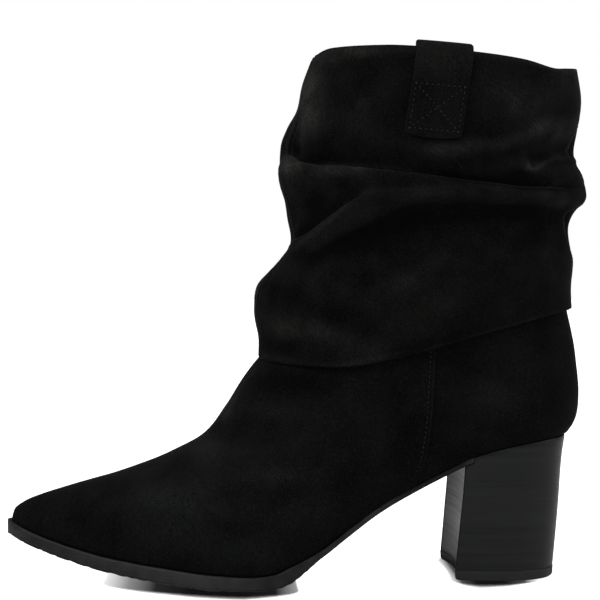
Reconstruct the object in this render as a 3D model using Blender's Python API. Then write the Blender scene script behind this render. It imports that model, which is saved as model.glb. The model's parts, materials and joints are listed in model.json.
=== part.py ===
"""Left ankle boot: slouched suede shaft, lapped vamp and counter, stacked block heel, pull loop.

All sizes are in millimetres. The toe points to -X, the heel to +X, the outer side to -Y and Z is up.
The pieces are worked out first, then the whole boot is centred over the origin and put in metres.
"""
import bmesh
import bpy
import numpy as np
from mathutils.bvhtree import BVHTree

MM = 0.001
GAP = 0.3              # air between two pieces that touch
UPPER_WALL = 1.8       # suede, stiffener and lining of the foot
VAMP_STEP = 0.7        # height of the vamp's lapped edge over the counter
SEAM_WIDTH = 0.8       # length over which the lapped edge drops
SHAFT_WALL = 1.4       # suede and lining of the shaft
HEM_STAND = 0.5        # extra air behind the hem of the shaft
LIFT_HEIGHT = 5.3      # top lift, on the floor
INSOLE_THICK = 2.2
SOLE_MARGIN = 1.7      # how far the forefoot sole stands out past the upper
SOLE_BEVEL = 1.2       # rounding of the sole's lower edge
SOLE_TAIL_X = 77.2     # end of the outsole, laid on the front of the heel
BREAST_HOLLOW = 3.0    # depth of the hollow in the front of the heel
STRAP_WIDTH = 24.4
STRAP_THICK = 1.5
STRAP_RISE = 3.4       # top of the loop above the collar
STRAP_FOOT_Z = 196.0   # lower end of the loop outside
STRAP_INSIDE = 22.0    # length of the loop inside the shaft
STRAP_LOW_X = 56.6     # middle of the strap at its lower end
STRAP_TOP_X = 61.9     # middle of the strap at the collar

# Outline and heights of the sole, toe to seat. Half widths are of the upper where it meets the sole.
SOLE_COLUMNS = ("x", "outer", "inner", "middle", "thick", "top")
SOLE = np.array([
    (-130.0, 6.0, 6.0, 5.0, 6.0, 26.0),
    (-118.0, 11.5, 11.5, 4.4, 6.0, 19.9),
    (-103.0, 18.2, 18.0, 3.6, 6.0, 15.5),
    (-85.0, 26.0, 25.4, 2.6, 6.2, 11.8),
    (-60.0, 35.4, 34.0, 1.4, 6.4, 8.9),
    (-37.0, 41.2, 39.0, 0.5, 6.5, 6.7),
    (-22.0, 42.3, 39.5, 0.2, 6.0, 6.0),
    (-12.0, 42.0, 38.9, 0.0, 6.8, 7.0),
    (-5.0, 41.2, 38.0, 0.0, 6.9, 9.9),
    (2.0, 40.0, 36.7, 0.0, 5.5, 13.1),
    (9.0, 38.4, 35.0, 0.0, 3.4, 16.9),
    (20.0, 35.6, 32.0, 0.0, 3.2, 24.6),
    (35.0, 31.9, 28.6, 0.0, 3.0, 34.6),
    (50.0, 29.0, 26.6, 0.0, 2.7, 42.4),
    (65.0, 27.4, 26.2, 0.0, 2.4, 49.5),
    (77.0, 27.2, 26.8, 0.0, 2.3, 55.0),
    (90.0, 27.3, 27.3, 0.0, 2.3, 58.8),
    (107.0, 27.6, 27.6, 0.0, 2.3, 62.2),
    (126.0, 28.0, 28.0, 0.0, 2.3, 64.4),
])

# Levels of the foot, from the edge on the sole up to the ankle inside the shaft.
LEVEL_COLUMNS = ("front_x", "front_z", "back_x", "back_z", "nose", "seat_round",
                 "ball", "waist", "seat", "sag", "seam_x")
LEVELS = np.array([
    (-128.3, 25.6, 124.2, 64.5, 8.0, 26.0, 1.000, 1.00, 1.00, 1.00, 49.5),
    (-127.2, 28.7, 126.6, 68.4, 13.0, 27.0, 1.035, 1.07, 1.06, 0.93, 51.8),
    (-122.5, 32.3, 128.2, 72.8, 22.0, 28.0, 1.055, 1.13, 1.10, 0.85, 53.9),
    (-110.0, 36.8, 128.9, 78.0, 38.0, 30.0, 1.060, 1.17, 1.13, 0.74, 55.3),
    (-92.0, 42.1, 129.0, 83.5, 50.0, 32.0, 1.050, 1.19, 1.15, 0.62, 56.2),
    (-74.0, 47.5, 128.7, 89.5, 60.0, 35.0, 1.030, 1.20, 1.16, 0.50, 56.9),
    (-56.0, 54.7, 127.9, 96.5, 68.0, 39.0, 1.000, 1.20, 1.17, 0.38, 57.4),
    (-42.0, 62.6, 126.8, 103.5, 74.0, 44.0, 0.960, 1.19, 1.18, 0.27, 57.8),
    (-31.6, 76.1, 125.2, 111.0, 76.0, 50.0, 0.930, 1.18, 1.20, 0.15, 58.3),
    (-22.9, 90.6, 123.4, 119.0, 75.0, 56.0, 0.900, 1.17, 1.22, 0.07, 58.8),
    (-6.5, 110.0, 121.5, 131.0, 70.0, 60.0, 0.880, 1.17, 1.24, 0.00, 59.3),
])

# Rings of the slouched shaft from the hem up. `inner_drop` lowers a ring on the inner side.
# The heights run from the front past the outer side to the back, every 30 degrees; the pushes
# move a ring in or out at the same seven places, and the hem off the upper that it hangs over.
RING_COLUMNS = ("front_x", "back_x", "half_outer", "half_inner", "inner_drop")
STATIONS = (0.0, 30.0, 60.0, 90.0, 120.0, 150.0, 180.0)
NONE = (0.0, 0.0, 0.0, 0.0, 0.0, 0.0, 0.0)
RINGS = (
    ("hem", (-17.0, 125.2, 39.0, 39.0, 0.0),
     (99.0, 97.8, 96.8, 103.4, 112.8, 119.2, 121.0), (0.0, 1.2, 2.4, 2.6, 2.2, 0.9, 0.0)),
    ("hem_turn", (-17.6, 125.2, 43.6, 43.4, 0.0),
     (106.0, 105.2, 104.8, 111.5, 121.0, 126.5, 128.0), NONE),
    ("lower_belly", (-19.3, 125.8, 46.2, 45.8, -1.0),
     (120.5, 119.5, 122.0, 132.5, 141.0, 142.5, 141.0), NONE),
    ("groove", (-17.7, 124.0, 44.0, 44.0, -3.0),
     (130.5, 132.0, 147.5, 161.5, 163.5, 161.8, 159.7), NONE),
    ("band_belly", (-12.8, 129.4, 48.2, 47.5, -3.0),
     (136.8, 142.0, 159.0, 168.8, 168.0, 166.8, 165.8), NONE),
    ("front_lip", (-4.4, 131.4, 48.0, 47.4, -3.0),
     (146.4, 153.6, 170.5, 172.2, 170.0, 168.8, 168.2), NONE),
    ("front_pocket", (-2.8, 132.1, 47.8, 47.2, -3.0),
     (149.0, 153.4, 173.4, 174.3, 171.5, 170.4, 170.4), (0.0, -3.6, -0.8, 0.0, 0.0, 0.0, 0.0)),
    ("facet", (-4.4, 132.2, 46.9, 46.4, -3.0),
     (162.0, 166.0, 177.6, 176.2, 172.8, 171.8, 172.4), (0.0, -1.0, -0.3, 0.0, 0.0, 0.0, 0.0)),
    ("roll_crest", (-7.4, 132.1, 45.0, 44.6, -3.0),
     (178.5, 184.0, 181.0, 177.4, 173.7, 172.6, 174.6), (0.0, -0.6, 0.0, 0.0, 0.0, -0.6, 0.0)),
    ("roll_pocket", (-7.9, 131.2, 41.2, 41.0, -3.0),
     (185.0, 184.6, 180.4, 176.4, 173.0, 173.6, 177.6), (0.0, -4.6, -1.6, 0.0, -0.4, -2.6, 0.0)),
    ("upper_base", (-7.0, 127.4, 40.6, 40.4, -2.0),
     (194.0, 193.0, 189.0, 185.0, 182.0, 181.5, 186.0), (0.0, -3.6, -1.2, 0.0, -0.6, 1.2, 0.0)),
    ("upper_middle", (-1.0, 128.0, 41.2, 41.0, 0.0),
     (207.0, 207.5, 207.0, 205.0, 203.0, 203.5, 206.0), NONE),
    ("upper_high", (2.0, 129.1, 41.8, 41.6, 0.0),
     (219.0, 220.5, 220.5, 218.5, 216.0, 215.5, 216.5), NONE),
    ("collar", (6.4, 127.2, 42.2, 42.0, 0.0),
     (231.8, 234.8, 234.3, 231.7, 229.0, 226.8, 228.0), NONE),
)
RING_PARTS = (1, 2, 2, 2, 2, 1, 2, 2, 2, 2, 2, 1, 1)    # rows made between neighbouring rings

# The heel from its lift up: part of the height, front, back and half width.
HEEL = ((0.0, 69.3, 116.9, 24.4), (0.45, 71.2, 119.2, 25.4), (0.84, 72.8, 120.9, 26.4),
        (1.0, 73.2, 122.8, 27.2))
HEEL_ROUND = 25.0      # length of the rounded back corners

UPPER_ROWS = 18
UPPER_BACK = 7         # columns on each side behind the seam
UPPER_FRONT = 16       # columns on each side in front of the seam
SHAFT_COLUMNS = 48
STRAP_COLUMNS = 5


def curve(places, knots, values, flat=False):
    """Smooth curve through (knots, values) without overshoot; `flat` levels it at both ends."""
    knots = np.asarray(knots, dtype=float)
    values = np.asarray(values, dtype=float)
    step = np.diff(knots)
    rise = np.diff(values) / step
    same = rise[:-1] * rise[1:] > 0.0
    before = np.where(same, rise[:-1], 1.0)
    after = np.where(same, rise[1:], 1.0)
    wide = 2.0 * step[1:] + step[:-1]
    near = step[1:] + 2.0 * step[:-1]
    slope = np.zeros_like(values)
    slope[1:-1] = np.where(same, (wide + near) / (wide / before + near / after), 0.0)
    if not flat:
        slope[0] = rise[0]
        slope[-1] = rise[-1]
    places = np.clip(places, knots[0], knots[-1])
    i = np.clip(np.searchsorted(knots, places, side="right") - 1, 0, len(step) - 1)
    u = (places - knots[i]) / step[i]
    return ((1.0 + 2.0 * u) * (1.0 - u) ** 2 * values[i] + u * (1.0 - u) ** 2 * step[i] * slope[i]
            + u * u * (3.0 - 2.0 * u) * values[i + 1] + u * u * (u - 1.0) * step[i] * slope[i + 1])


def sole(column, x):
    """One column of the sole's table at the place x."""
    return curve(x, SOLE[:, 0], SOLE[:, SOLE_COLUMNS.index(column)])


def round_end(part, power=2.0):
    """Width of a rounded end: 0 at its tip and 1 from its full width on."""
    part = np.clip(part, 0.0, 1.0)
    return (1.0 - (1.0 - part) ** power) ** (1.0 / power)


def grid_normals(grid):
    """Outward unit normals of a grid of rings that runs round the boot."""
    along = np.gradient(grid, axis=0)
    around = np.roll(grid, -1, axis=1) - np.roll(grid, 1, axis=1)
    normal = np.cross(along, around)
    normal /= np.linalg.norm(normal, axis=2, keepdims=True)
    normal[1:-1] = normal[:-2] + 2.0 * normal[1:-1] + normal[2:]
    normal /= np.linalg.norm(normal, axis=2, keepdims=True)
    middle = grid.mean(axis=1, keepdims=True)
    if ((grid - middle) * normal).sum() < 0.0:
        normal = -normal
    return normal


def upper_level(level):
    """Outer face of the counter at one level, round from the back by the outer side."""
    knots = np.linspace(0.0, 1.0, len(LEVELS))
    value = {name: float(curve(level, knots, LEVELS[:, i])) for i, name in enumerate(LEVEL_COLUMNS)}
    front = value["front_x"]
    back = value["back_x"]
    seam = value["seam_x"]
    behind = np.linspace(0.0, np.pi / 2.0, UPPER_BACK + 1)
    ahead = np.linspace(0.0, np.pi / 2.0, UPPER_FRONT + 1)
    lap = seam + SEAM_WIDTH / 2.0
    edge = seam - SEAM_WIDTH / 2.0
    x = np.concatenate((back + (lap - back) * (1.0 - np.cos(behind)), edge + (front - edge) * np.sin(ahead)))
    scale = curve(x, (-15.0, 35.0, 95.0), (value["ball"], value["waist"], value["seat"]), flat=True)
    ends = round_end((x - front) / value["nose"]) * round_end((back - x) / value["seat_round"])
    along = (x - front) / (back - front)
    chord = sole("top", front) + (sole("top", back) - sole("top", front)) * along
    z = value["front_z"] + (value["back_z"] - value["front_z"]) * along
    z = z + value["sag"] * (sole("top", x) - chord) + GAP
    outer = np.column_stack((x, sole("middle", x) - sole("outer", x) * scale * ends, z))
    inner = np.column_stack((x, sole("middle", x) + sole("inner", x) * scale * ends, z))
    return np.concatenate((outer, inner[-2:0:-1]))


def upper_shell():
    """Outer and inner faces of the upper; the vamp stands out over the counter."""
    face = np.array([upper_level(level) for level in np.linspace(0.0, 1.0, UPPER_ROWS)])
    normal = grid_normals(face)
    count = face.shape[1]
    column = np.arange(count)
    column = np.minimum(column, count - column)
    vamp = (column > UPPER_BACK).astype(float)[None, :, None]
    return face + normal * VAMP_STEP * vamp, face - normal * UPPER_WALL


def shell_solid(outer, inner):
    """Closed solid between two grids of rings."""
    rows, count = outer.shape[:2]
    points = np.concatenate((outer.reshape(-1, 3), inner.reshape(-1, 3)))
    start = rows * count
    faces = []
    for r in range(rows - 1):
        for c in range(count):
            d = (c + 1) % count
            low = r * count
            high = low + count
            faces.append((low + c, low + d, high + d, high + c))
            faces.append((start + high + c, start + high + d, start + low + d, start + low + c))
    last = start - count
    for c in range(count):
        d = (c + 1) % count
        faces.append((start + c, start + d, d, c))
        faces.append((last + c, last + d, start + last + d, start + last + c))
    return points, faces


def tree_of(solid):
    """Search tree of a solid's faces."""
    points, faces = solid
    return BVHTree.FromPolygons([tuple(p) for p in points], faces)


def shaft_rings(upper_tree):
    """Named rings of the shaft as points; the hem is laid round the upper itself."""
    turn = np.linspace(0.0, 360.0, SHAFT_COLUMNS, endpoint=False)
    is_outer = turn <= 180.0
    station = np.where(is_outer, turn, 360.0 - turn)
    cosine = np.cos(np.radians(station))
    sine = np.sin(np.radians(station))
    side = np.where(is_outer, -1.0, 1.0)
    rings = []
    for name, (front, back, outer, inner, drop), heights, pushes in RINGS:
        half = np.where(is_outer, outer, inner)
        length = (back - front) / 2.0
        out_x = -cosine * half
        out_y = side * sine * length
        size = np.hypot(out_x, out_y)
        push = curve(station, STATIONS, pushes, flat=True)
        x = (front + back) / 2.0 - length * cosine + push * out_x / size
        y = side * half * sine + push * out_y / size
        z = curve(station, STATIONS, heights, flat=True) + np.where(is_outer, 0.0, drop) * sine ** 2
        if name == "hem":
            middle = (front + back) / 2.0
            for i in range(len(x)):
                away = np.array((x[i] - middle, y[i]))
                away /= np.linalg.norm(away)
                begin = (middle + 200.0 * away[0], 200.0 * away[1], z[i])
                place = upper_tree.ray_cast(begin, (-away[0], -away[1], 0.0))[0]
                stand = GAP + HEM_STAND + SHAFT_WALL + push[i]
                x[i] = place[0] + stand * away[0]
                y[i] = place[1] + stand * away[1]
        rings.append(np.column_stack((x, y, z)))
    return np.array(rings)


def through(rings, parts):
    """Grid of rings on a smooth surface through the named rings."""
    chord = np.linalg.norm(np.diff(rings, axis=0), axis=2)[:, :, None]
    speed = np.diff(rings, axis=0) / chord
    slope = np.empty_like(rings)
    slope[0] = speed[0]
    slope[-1] = speed[-1]
    slope[1:-1] = (speed[:-1] * chord[1:] + speed[1:] * chord[:-1]) / (chord[:-1] + chord[1:])
    rows = []
    for k, part in enumerate(parts):
        for u in np.arange(part) / part:
            rows.append((1.0 + 2.0 * u) * (1.0 - u) ** 2 * rings[k]
                        + u * (1.0 - u) ** 2 * chord[k] * slope[k]
                        + u * u * (3.0 - 2.0 * u) * rings[k + 1]
                        + u * u * (u - 1.0) * chord[k] * slope[k + 1])
    rows.append(rings[-1])
    return np.array(rows)


def shaft_shell(upper_tree):
    """Outer and inner faces of the shaft."""
    face = through(shaft_rings(upper_tree), RING_PARTS)
    return face, face - grid_normals(face) * SHAFT_WALL


def slab_solid(rings, front_points=0):
    """Solid through stacked rings. Each ring runs down the outer side and back up the inner side,
    then along `front_points` more points of its first edge."""
    count = len(rings[0])
    points = np.concatenate(rings)
    faces = []
    for r in range(len(rings) - 1):
        for c in range(count):
            d = (c + 1) % count
            low = r * count
            faces.append((low + c, low + d, low + count + d, low + count + c))
    pairs = (count - front_points) // 2
    for base, turned in ((0, True), ((len(rings) - 1) * count, False)):
        for i in range(pairs - 1):
            face = [i, i + 1, 2 * pairs - 2 - i, 2 * pairs - 1 - i]
            if i == 0:
                face += list(range(2 * pairs, count))
            if turned:
                face.reverse()
            faces.append(tuple(base + n for n in face))
    return points, faces


def side_ring(x, outer, inner, z):
    """Ring of paired points: down the outer side, back up the inner side."""
    first = np.column_stack((x, outer, z))
    second = np.column_stack((x, inner, z))
    return np.concatenate((first, second[::-1]))


def sole_places(back, front):
    """Places along the sole, the same under the arch for every layer and close at the toe."""
    arch = np.arange(70.0, -40.0, -4.5)
    toe = arch[-1] + (front - arch[-1]) * np.sin(np.linspace(0.0, np.pi / 2.0, 11))[1:]
    return np.concatenate((back, arch, toe))


def outsole_solid():
    """Outsole from the tail on the heel to the toe, with its lower edge rounded."""
    front = LEVELS[0][0] - SOLE_MARGIN
    x = sole_places((SOLE_TAIL_X,), front)
    margin = SOLE_MARGIN * curve(x, (10.0, 45.0), (1.0, 0.0), flat=True)
    tip = np.maximum(round_end((x - front) / (LEVELS[0][4] + 1.0)), 0.22)
    outer = sole("outer", x) * tip + margin
    inner = sole("inner", x) * tip + margin
    middle = sole("middle", x)
    top = sole("top", x)
    low = top - sole("thick", x)
    low = np.where(low < 0.35, 0.0, low)
    bevel = np.minimum(SOLE_BEVEL, 0.35 * (top - low))
    rings = [side_ring(x, middle - outer + bevel, middle + inner - bevel, low),
             side_ring(x, middle - outer, middle + inner, low + 0.9 * bevel),
             side_ring(x, middle - outer, middle + inner, top - 0.4),
             side_ring(x, middle - outer + 0.4, middle + inner - 0.4, top)]
    return slab_solid(rings)


def insole_solid():
    """Insole inside the foot, over the sole and the heel seat."""
    inset = UPPER_WALL + 0.6
    front = LEVELS[0][0] + inset
    back = LEVELS[0][2] - inset
    seat = back - (back - 74.0) * (1.0 - np.cos(np.linspace(0.0, np.pi / 2.0, 9)))
    x = sole_places(seat, front)
    ends = round_end((x - front) / LEVELS[0][4]) * round_end((back - x) / LEVELS[0][5])
    ends = np.maximum(ends, 0.12)
    outer = sole("middle", x) - np.maximum(sole("outer", x) * ends - inset, 0.6)
    inner = sole("middle", x) + np.maximum(sole("inner", x) * ends - inset, 0.6)
    top = sole("top", x)
    return slab_solid([side_ring(x, outer, inner, top + GAP),
                       side_ring(x, outer, inner, top + GAP + INSOLE_THICK)])


def heel_ring(part):
    """Plan of the heel at one part of its height: sides, rounded back and hollow front."""
    table = np.array(HEEL)
    front, back, half = (float(curve(part, table[:, 0], table[:, i])) for i in (1, 2, 3))
    shelf = SOLE_TAIL_X + GAP
    x = np.concatenate(((front, shelf - 0.05, shelf + 0.05), np.linspace(84.0, 96.0, 3),
                        back - HEEL_ROUND * 0.8 * (1.0 - np.sin(np.linspace(0.15, np.pi / 2.0, 7)))))
    width = half * np.maximum(round_end((back - x) / HEEL_ROUND, 2.5), 0.16)
    width[0] = half
    across = np.array((0.62, 0.0, -0.62))
    hollow = np.column_stack((front + BREAST_HOLLOW * (1.0 - across ** 2), across * half))
    plan = np.concatenate((np.column_stack((x, -width)), np.column_stack((x, width))[::-1], hollow))
    return plan


def heel_solid():
    """Stacked heel between the lift and the seat, stepped under the tail of the outsole."""
    low = LIFT_HEIGHT + GAP
    rings = []
    for part, *_ in HEEL:
        plan = heel_ring(part)
        x = plan[:, 0]
        under = np.where(x < SOLE_TAIL_X + GAP, sole("top", x) - sole("thick", x), sole("top", x))
        if part < 1.0:
            under = sole("top", x) - sole("thick", x)
        rings.append(np.column_stack((plan, low + (under - GAP - low) * part)))
    return slab_solid(rings, front_points=3)


def lift_solid():
    """Top lift on the floor, a little larger than the heel over it, with its lower edge rounded."""
    plan = heel_ring(0.0)
    middle = np.array((92.0, 0.0))
    rings = []
    for z, grow in ((0.0, -0.8), (0.8, 0.3), (LIFT_HEIGHT, 0.3)):
        away = plan - middle
        away = away / np.linalg.norm(away, axis=1, keepdims=True)
        rings.append(np.column_stack((plan + away * grow, np.full(len(plan), z))))
    return slab_solid(rings, front_points=3)


def strap_solid(shaft_tree):
    """Pull loop: up the outside of the shaft, over the collar and down the inside."""
    across = np.linspace(-0.5, 0.5, STRAP_COLUMNS) * STRAP_WIDTH
    collar = 232.4
    inner_face = []
    outer_face = []
    for z in np.linspace(STRAP_FOOT_Z, collar - 2.0, 7):
        middle = np.interp(z, (STRAP_FOOT_Z, collar), (STRAP_LOW_X, STRAP_TOP_X))
        near = []
        far = []
        for a in across:
            x = middle + a
            height = z - 0.09 * a
            y = shaft_tree.ray_cast((x, -150.0, height), (0.0, 1.0, 0.0))[0][1]
            near.append((x, y - GAP - 0.15, height))
            far.append((x, y - GAP - 0.15 - STRAP_THICK, height))
        inner_face.append(near)
        outer_face.append(far)
    legs = len(inner_face)
    inside = []
    for z in np.linspace(collar - 2.0, collar - STRAP_INSIDE, 4):
        middle = np.interp(z, (STRAP_FOOT_Z, collar), (STRAP_LOW_X, STRAP_TOP_X))
        near = []
        far = []
        for a in across:
            x = middle + a
            height = z - 0.09 * a
            y = shaft_tree.ray_cast((x, 0.0, height), (0.0, -1.0, 0.0))[0][1]
            near.append((x, y + GAP + 0.15, height))
            far.append((x, y + GAP + 0.15 + STRAP_THICK, height))
        inside.append((near, far))
    for angle in np.radians((30.0, 70.0, 110.0, 150.0)):
        near = []
        far = []
        for a, start, stop in zip(across, inner_face[legs - 1], inside[0][0]):
            centre = (start[1] + stop[1]) / 2.0
            reach = (stop[1] - start[1]) / 2.0
            rise = 2.0 + STRAP_RISE - STRAP_THICK
            near.append((start[0], centre - reach * np.cos(angle), start[2] + rise * np.sin(angle)))
            far.append((start[0], centre - (reach + STRAP_THICK) * np.cos(angle),
                        start[2] + (rise + STRAP_THICK) * np.sin(angle)))
        inner_face.append(near)
        outer_face.append(far)
    for near, far in inside:
        inner_face.append(near)
        outer_face.append(far)
    inner_face = np.array(inner_face)
    outer_face = np.array(outer_face)
    rings = [np.concatenate((a, b[::-1])) for a, b in zip(inner_face, outer_face)]
    return slab_solid(rings)


def material(name, colour, roughness):
    """Plain material of one real stuff."""
    made = bpy.data.materials.new(name)
    made.use_nodes = True
    shader = made.node_tree.nodes["Principled BSDF"]
    shader.inputs["Base Color"].default_value = (*colour, 1.0)
    shader.inputs["Roughness"].default_value = roughness
    return made


def main():
    for thing in list(bpy.data.objects):
        bpy.data.objects.remove(thing, do_unlink=True)
    upper = shell_solid(*upper_shell())
    shaft = shell_solid(*shaft_shell(tree_of(upper)))
    suede = material("black_suede", (0.012, 0.011, 0.011), 0.9)
    strap = material("black_strap", (0.012, 0.011, 0.011), 0.85)
    rubber = material("sole_rubber", (0.020, 0.020, 0.021), 0.55)
    stack = material("heel_stack", (0.025, 0.025, 0.026), 0.45)
    lift = material("lift_rubber", (0.012, 0.012, 0.013), 0.6)
    lining = material("insole_leather", (0.030, 0.027, 0.025), 0.7)
    pieces = (("outsole", outsole_solid(), rubber),
              ("heel", heel_solid(), stack),
              ("top_lift", lift_solid(), lift),
              ("upper", upper, suede),
              ("shaft", shaft, suede),
              ("pull_loop", strap_solid(tree_of(shaft)), strap),
              ("insole", insole_solid(), lining))
    every = np.concatenate([solid[0] for _, solid, _ in pieces])
    low = every.min(axis=0)
    high = every.max(axis=0)
    origin = np.array(((low[0] + high[0]) / 2.0, (low[1] + high[1]) / 2.0, low[2]))
    for name, (points, faces), stuff in pieces:
        mesh = bpy.data.meshes.new(name)
        mesh.from_pydata([tuple(p) for p in (points - origin) * MM], [], faces)
        mesh.materials.append(stuff)
        shape = bmesh.new()
        shape.from_mesh(mesh)
        bmesh.ops.recalc_face_normals(shape, faces=shape.faces)
        shape.to_mesh(mesh)
        shape.free()
        piece = bpy.data.objects.new(name, mesh)
        bpy.context.collection.objects.link(piece)


main()
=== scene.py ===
import json
import math
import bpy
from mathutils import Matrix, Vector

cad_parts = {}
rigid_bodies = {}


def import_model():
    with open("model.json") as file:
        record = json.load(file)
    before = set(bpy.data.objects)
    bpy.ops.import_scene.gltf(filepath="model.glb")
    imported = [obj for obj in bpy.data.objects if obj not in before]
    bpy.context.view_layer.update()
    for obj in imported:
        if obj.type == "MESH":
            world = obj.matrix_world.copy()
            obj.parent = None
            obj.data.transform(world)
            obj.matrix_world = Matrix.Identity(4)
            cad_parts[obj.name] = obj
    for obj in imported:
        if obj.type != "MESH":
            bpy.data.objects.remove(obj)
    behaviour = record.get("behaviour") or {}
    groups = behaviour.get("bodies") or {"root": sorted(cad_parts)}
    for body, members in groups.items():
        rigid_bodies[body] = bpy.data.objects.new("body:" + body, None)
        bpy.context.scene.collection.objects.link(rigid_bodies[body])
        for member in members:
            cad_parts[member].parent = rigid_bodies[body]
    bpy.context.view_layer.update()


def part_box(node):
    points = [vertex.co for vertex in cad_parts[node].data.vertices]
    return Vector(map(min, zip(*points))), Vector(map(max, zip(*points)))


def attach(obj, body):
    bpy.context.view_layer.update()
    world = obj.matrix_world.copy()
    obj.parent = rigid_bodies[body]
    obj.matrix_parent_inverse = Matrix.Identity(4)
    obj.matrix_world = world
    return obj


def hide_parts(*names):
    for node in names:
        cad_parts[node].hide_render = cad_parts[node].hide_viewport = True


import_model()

from types import SimpleNamespace

import bmesh
import bpy
import numpy as np
from mathutils import Vector, noise
from mathutils.bvhtree import BVHTree

bl_info = {
    "name": "Slouch Ankle Boot",
    "version": (1, 0, 0),
    "blender": (4, 5, 0),
    "location": "View3D > Sidebar > Boot",
    "description": "Suede ankle boot with a slouched shaft, dressed round its solid model",
    "category": "Object",
}

MM = 0.001
FAR_OUT = 200.0         # mm, where rays towards the boot start
SOLE_FRONT_X = -130.0
# The tables below are in millimetres from the boot's own zero, which the solids give in the frame.
ZERO = np.array((SOLE_FRONT_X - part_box("outsole")[0][0] / MM,
                 -(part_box("heel")[0][1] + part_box("heel")[1][1]) / 2.0 / MM, 0.0))

# Outline and heights of the sole, toe to seat. Half widths are of the upper where it meets the sole.
SOLE_COLUMNS = ("x", "outer", "inner", "middle", "thick", "top")
SOLE = np.array([
    (-130.0, 6.0, 6.0, 5.0, 6.5, 24.4),
    (-118.0, 11.5, 11.5, 4.4, 6.4, 19.7),
    (-103.0, 18.2, 18.0, 3.6, 6.5, 15.5),
    (-85.0, 26.0, 25.4, 2.6, 6.6, 11.8),
    (-60.0, 35.4, 34.0, 1.4, 6.8, 8.9),
    (-37.0, 41.2, 39.0, 0.5, 6.5, 6.7),
    (-22.0, 42.3, 39.5, 0.2, 6.0, 6.0),
    (-12.0, 42.0, 38.9, 0.0, 6.4, 7.0),
    (-5.0, 41.2, 38.0, 0.0, 7.2, 9.9),
    (2.0, 40.0, 36.7, 0.0, 5.5, 13.1),
    (9.0, 38.4, 35.0, 0.0, 3.4, 16.9),
    (20.0, 35.6, 32.0, 0.0, 3.2, 24.6),
    (35.0, 31.9, 28.6, 0.0, 3.0, 34.6),
    (50.0, 29.0, 26.6, 0.0, 2.7, 42.4),
    (65.0, 27.4, 26.2, 0.0, 2.4, 49.5),
    (77.0, 27.2, 26.8, 0.0, 2.3, 55.0),
    (90.0, 27.3, 27.3, 0.0, 2.3, 58.8),
    (107.0, 27.6, 27.6, 0.0, 2.3, 62.2),
    (126.0, 28.0, 28.0, 0.0, 2.3, 64.4),
])
SOLE_MARGIN = 1.7       # how far the sole stands out from under the upper
SOLE_TIP_X = -131.4     # rounded tip of the dressed sole
SOLE_TOE_X = -60.0      # its columns lie closer together from here to the tip
SOLE_TAIL_X = 77.2
TAIL_STEP = (0.1, 0.4)  # the heel steps up this close behind the sole's tail
PIECE_GAP = 0.3         # between two pieces, so that they don't touch

# Levels of the foot, from the edge on the sole up to the ankle inside the shaft.
LEVEL_COLUMNS = ("front_x", "front_z", "back_x", "back_z", "nose", "seat_round",
                 "ball", "waist", "seat", "sag", "seam_x")
LEVELS = np.array([
    (-129.4, 25.0, 124.2, 64.5, 8.0, 26.0, 1.000, 1.00, 1.00, 1.00, 50.6),
    (-128.4, 28.7, 126.6, 68.4, 13.0, 27.0, 1.035, 1.07, 1.06, 0.93, 52.9),
    (-123.4, 32.7, 128.2, 72.8, 22.0, 28.0, 1.055, 1.13, 1.10, 0.85, 55.0),
    (-110.0, 37.4, 128.9, 78.0, 38.0, 30.0, 1.060, 1.17, 1.13, 0.74, 56.3),
    (-92.0, 42.7, 129.0, 83.5, 50.0, 32.0, 1.050, 1.19, 1.15, 0.62, 57.1),
    (-74.0, 48.1, 128.7, 89.5, 60.0, 35.0, 1.030, 1.20, 1.16, 0.50, 57.7),
    (-56.0, 55.3, 127.9, 96.5, 68.0, 39.0, 1.000, 1.20, 1.17, 0.38, 58.1),
    (-42.0, 63.1, 126.8, 103.5, 74.0, 44.0, 0.960, 1.19, 1.18, 0.27, 58.4),
    (-32.0, 76.1, 125.2, 111.0, 76.0, 50.0, 0.930, 1.18, 1.20, 0.15, 58.9),
    (-22.8, 90.6, 123.4, 119.0, 75.0, 56.0, 0.900, 1.17, 1.22, 0.07, 59.3),
    (-6.5, 110.0, 121.5, 131.0, 70.0, 60.0, 0.880, 1.17, 1.24, 0.00, 59.8),
])
# Places of the fine columns in front of (-) and behind (+) the lapped seam.
SEAM_BEHIND = (7.0, 4.5, 2.6, 1.2, 0.45, 0.12)
SEAM_AHEAD = (-0.12, -0.5, -1.1, -1.7, -2.3, -2.9, -3.6, -4.8, -7.0)
COUNTER_COLUMNS = 34
VAMP_COLUMNS = 70
FOOT_PLACES = (-15.0, 35.0, 95.0)   # of the ball, the waist and the seat
LAP_FADE = 45.0         # the vamp's height over the counter dies away over this length
EDGE_CURL = 0.12        # how far the vamp's edge curls up
EDGE_DENT = 0.1         # how far the counter is pressed in behind it
SEAM_GROOVE = 0.22      # how far the thread pulls the vamp in
STILL_PART = 0.125      # of the foot's height, over which its folds rise from the edge on the sole
RIM_REACH = 0.9         # roundness of a wall's rim

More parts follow.
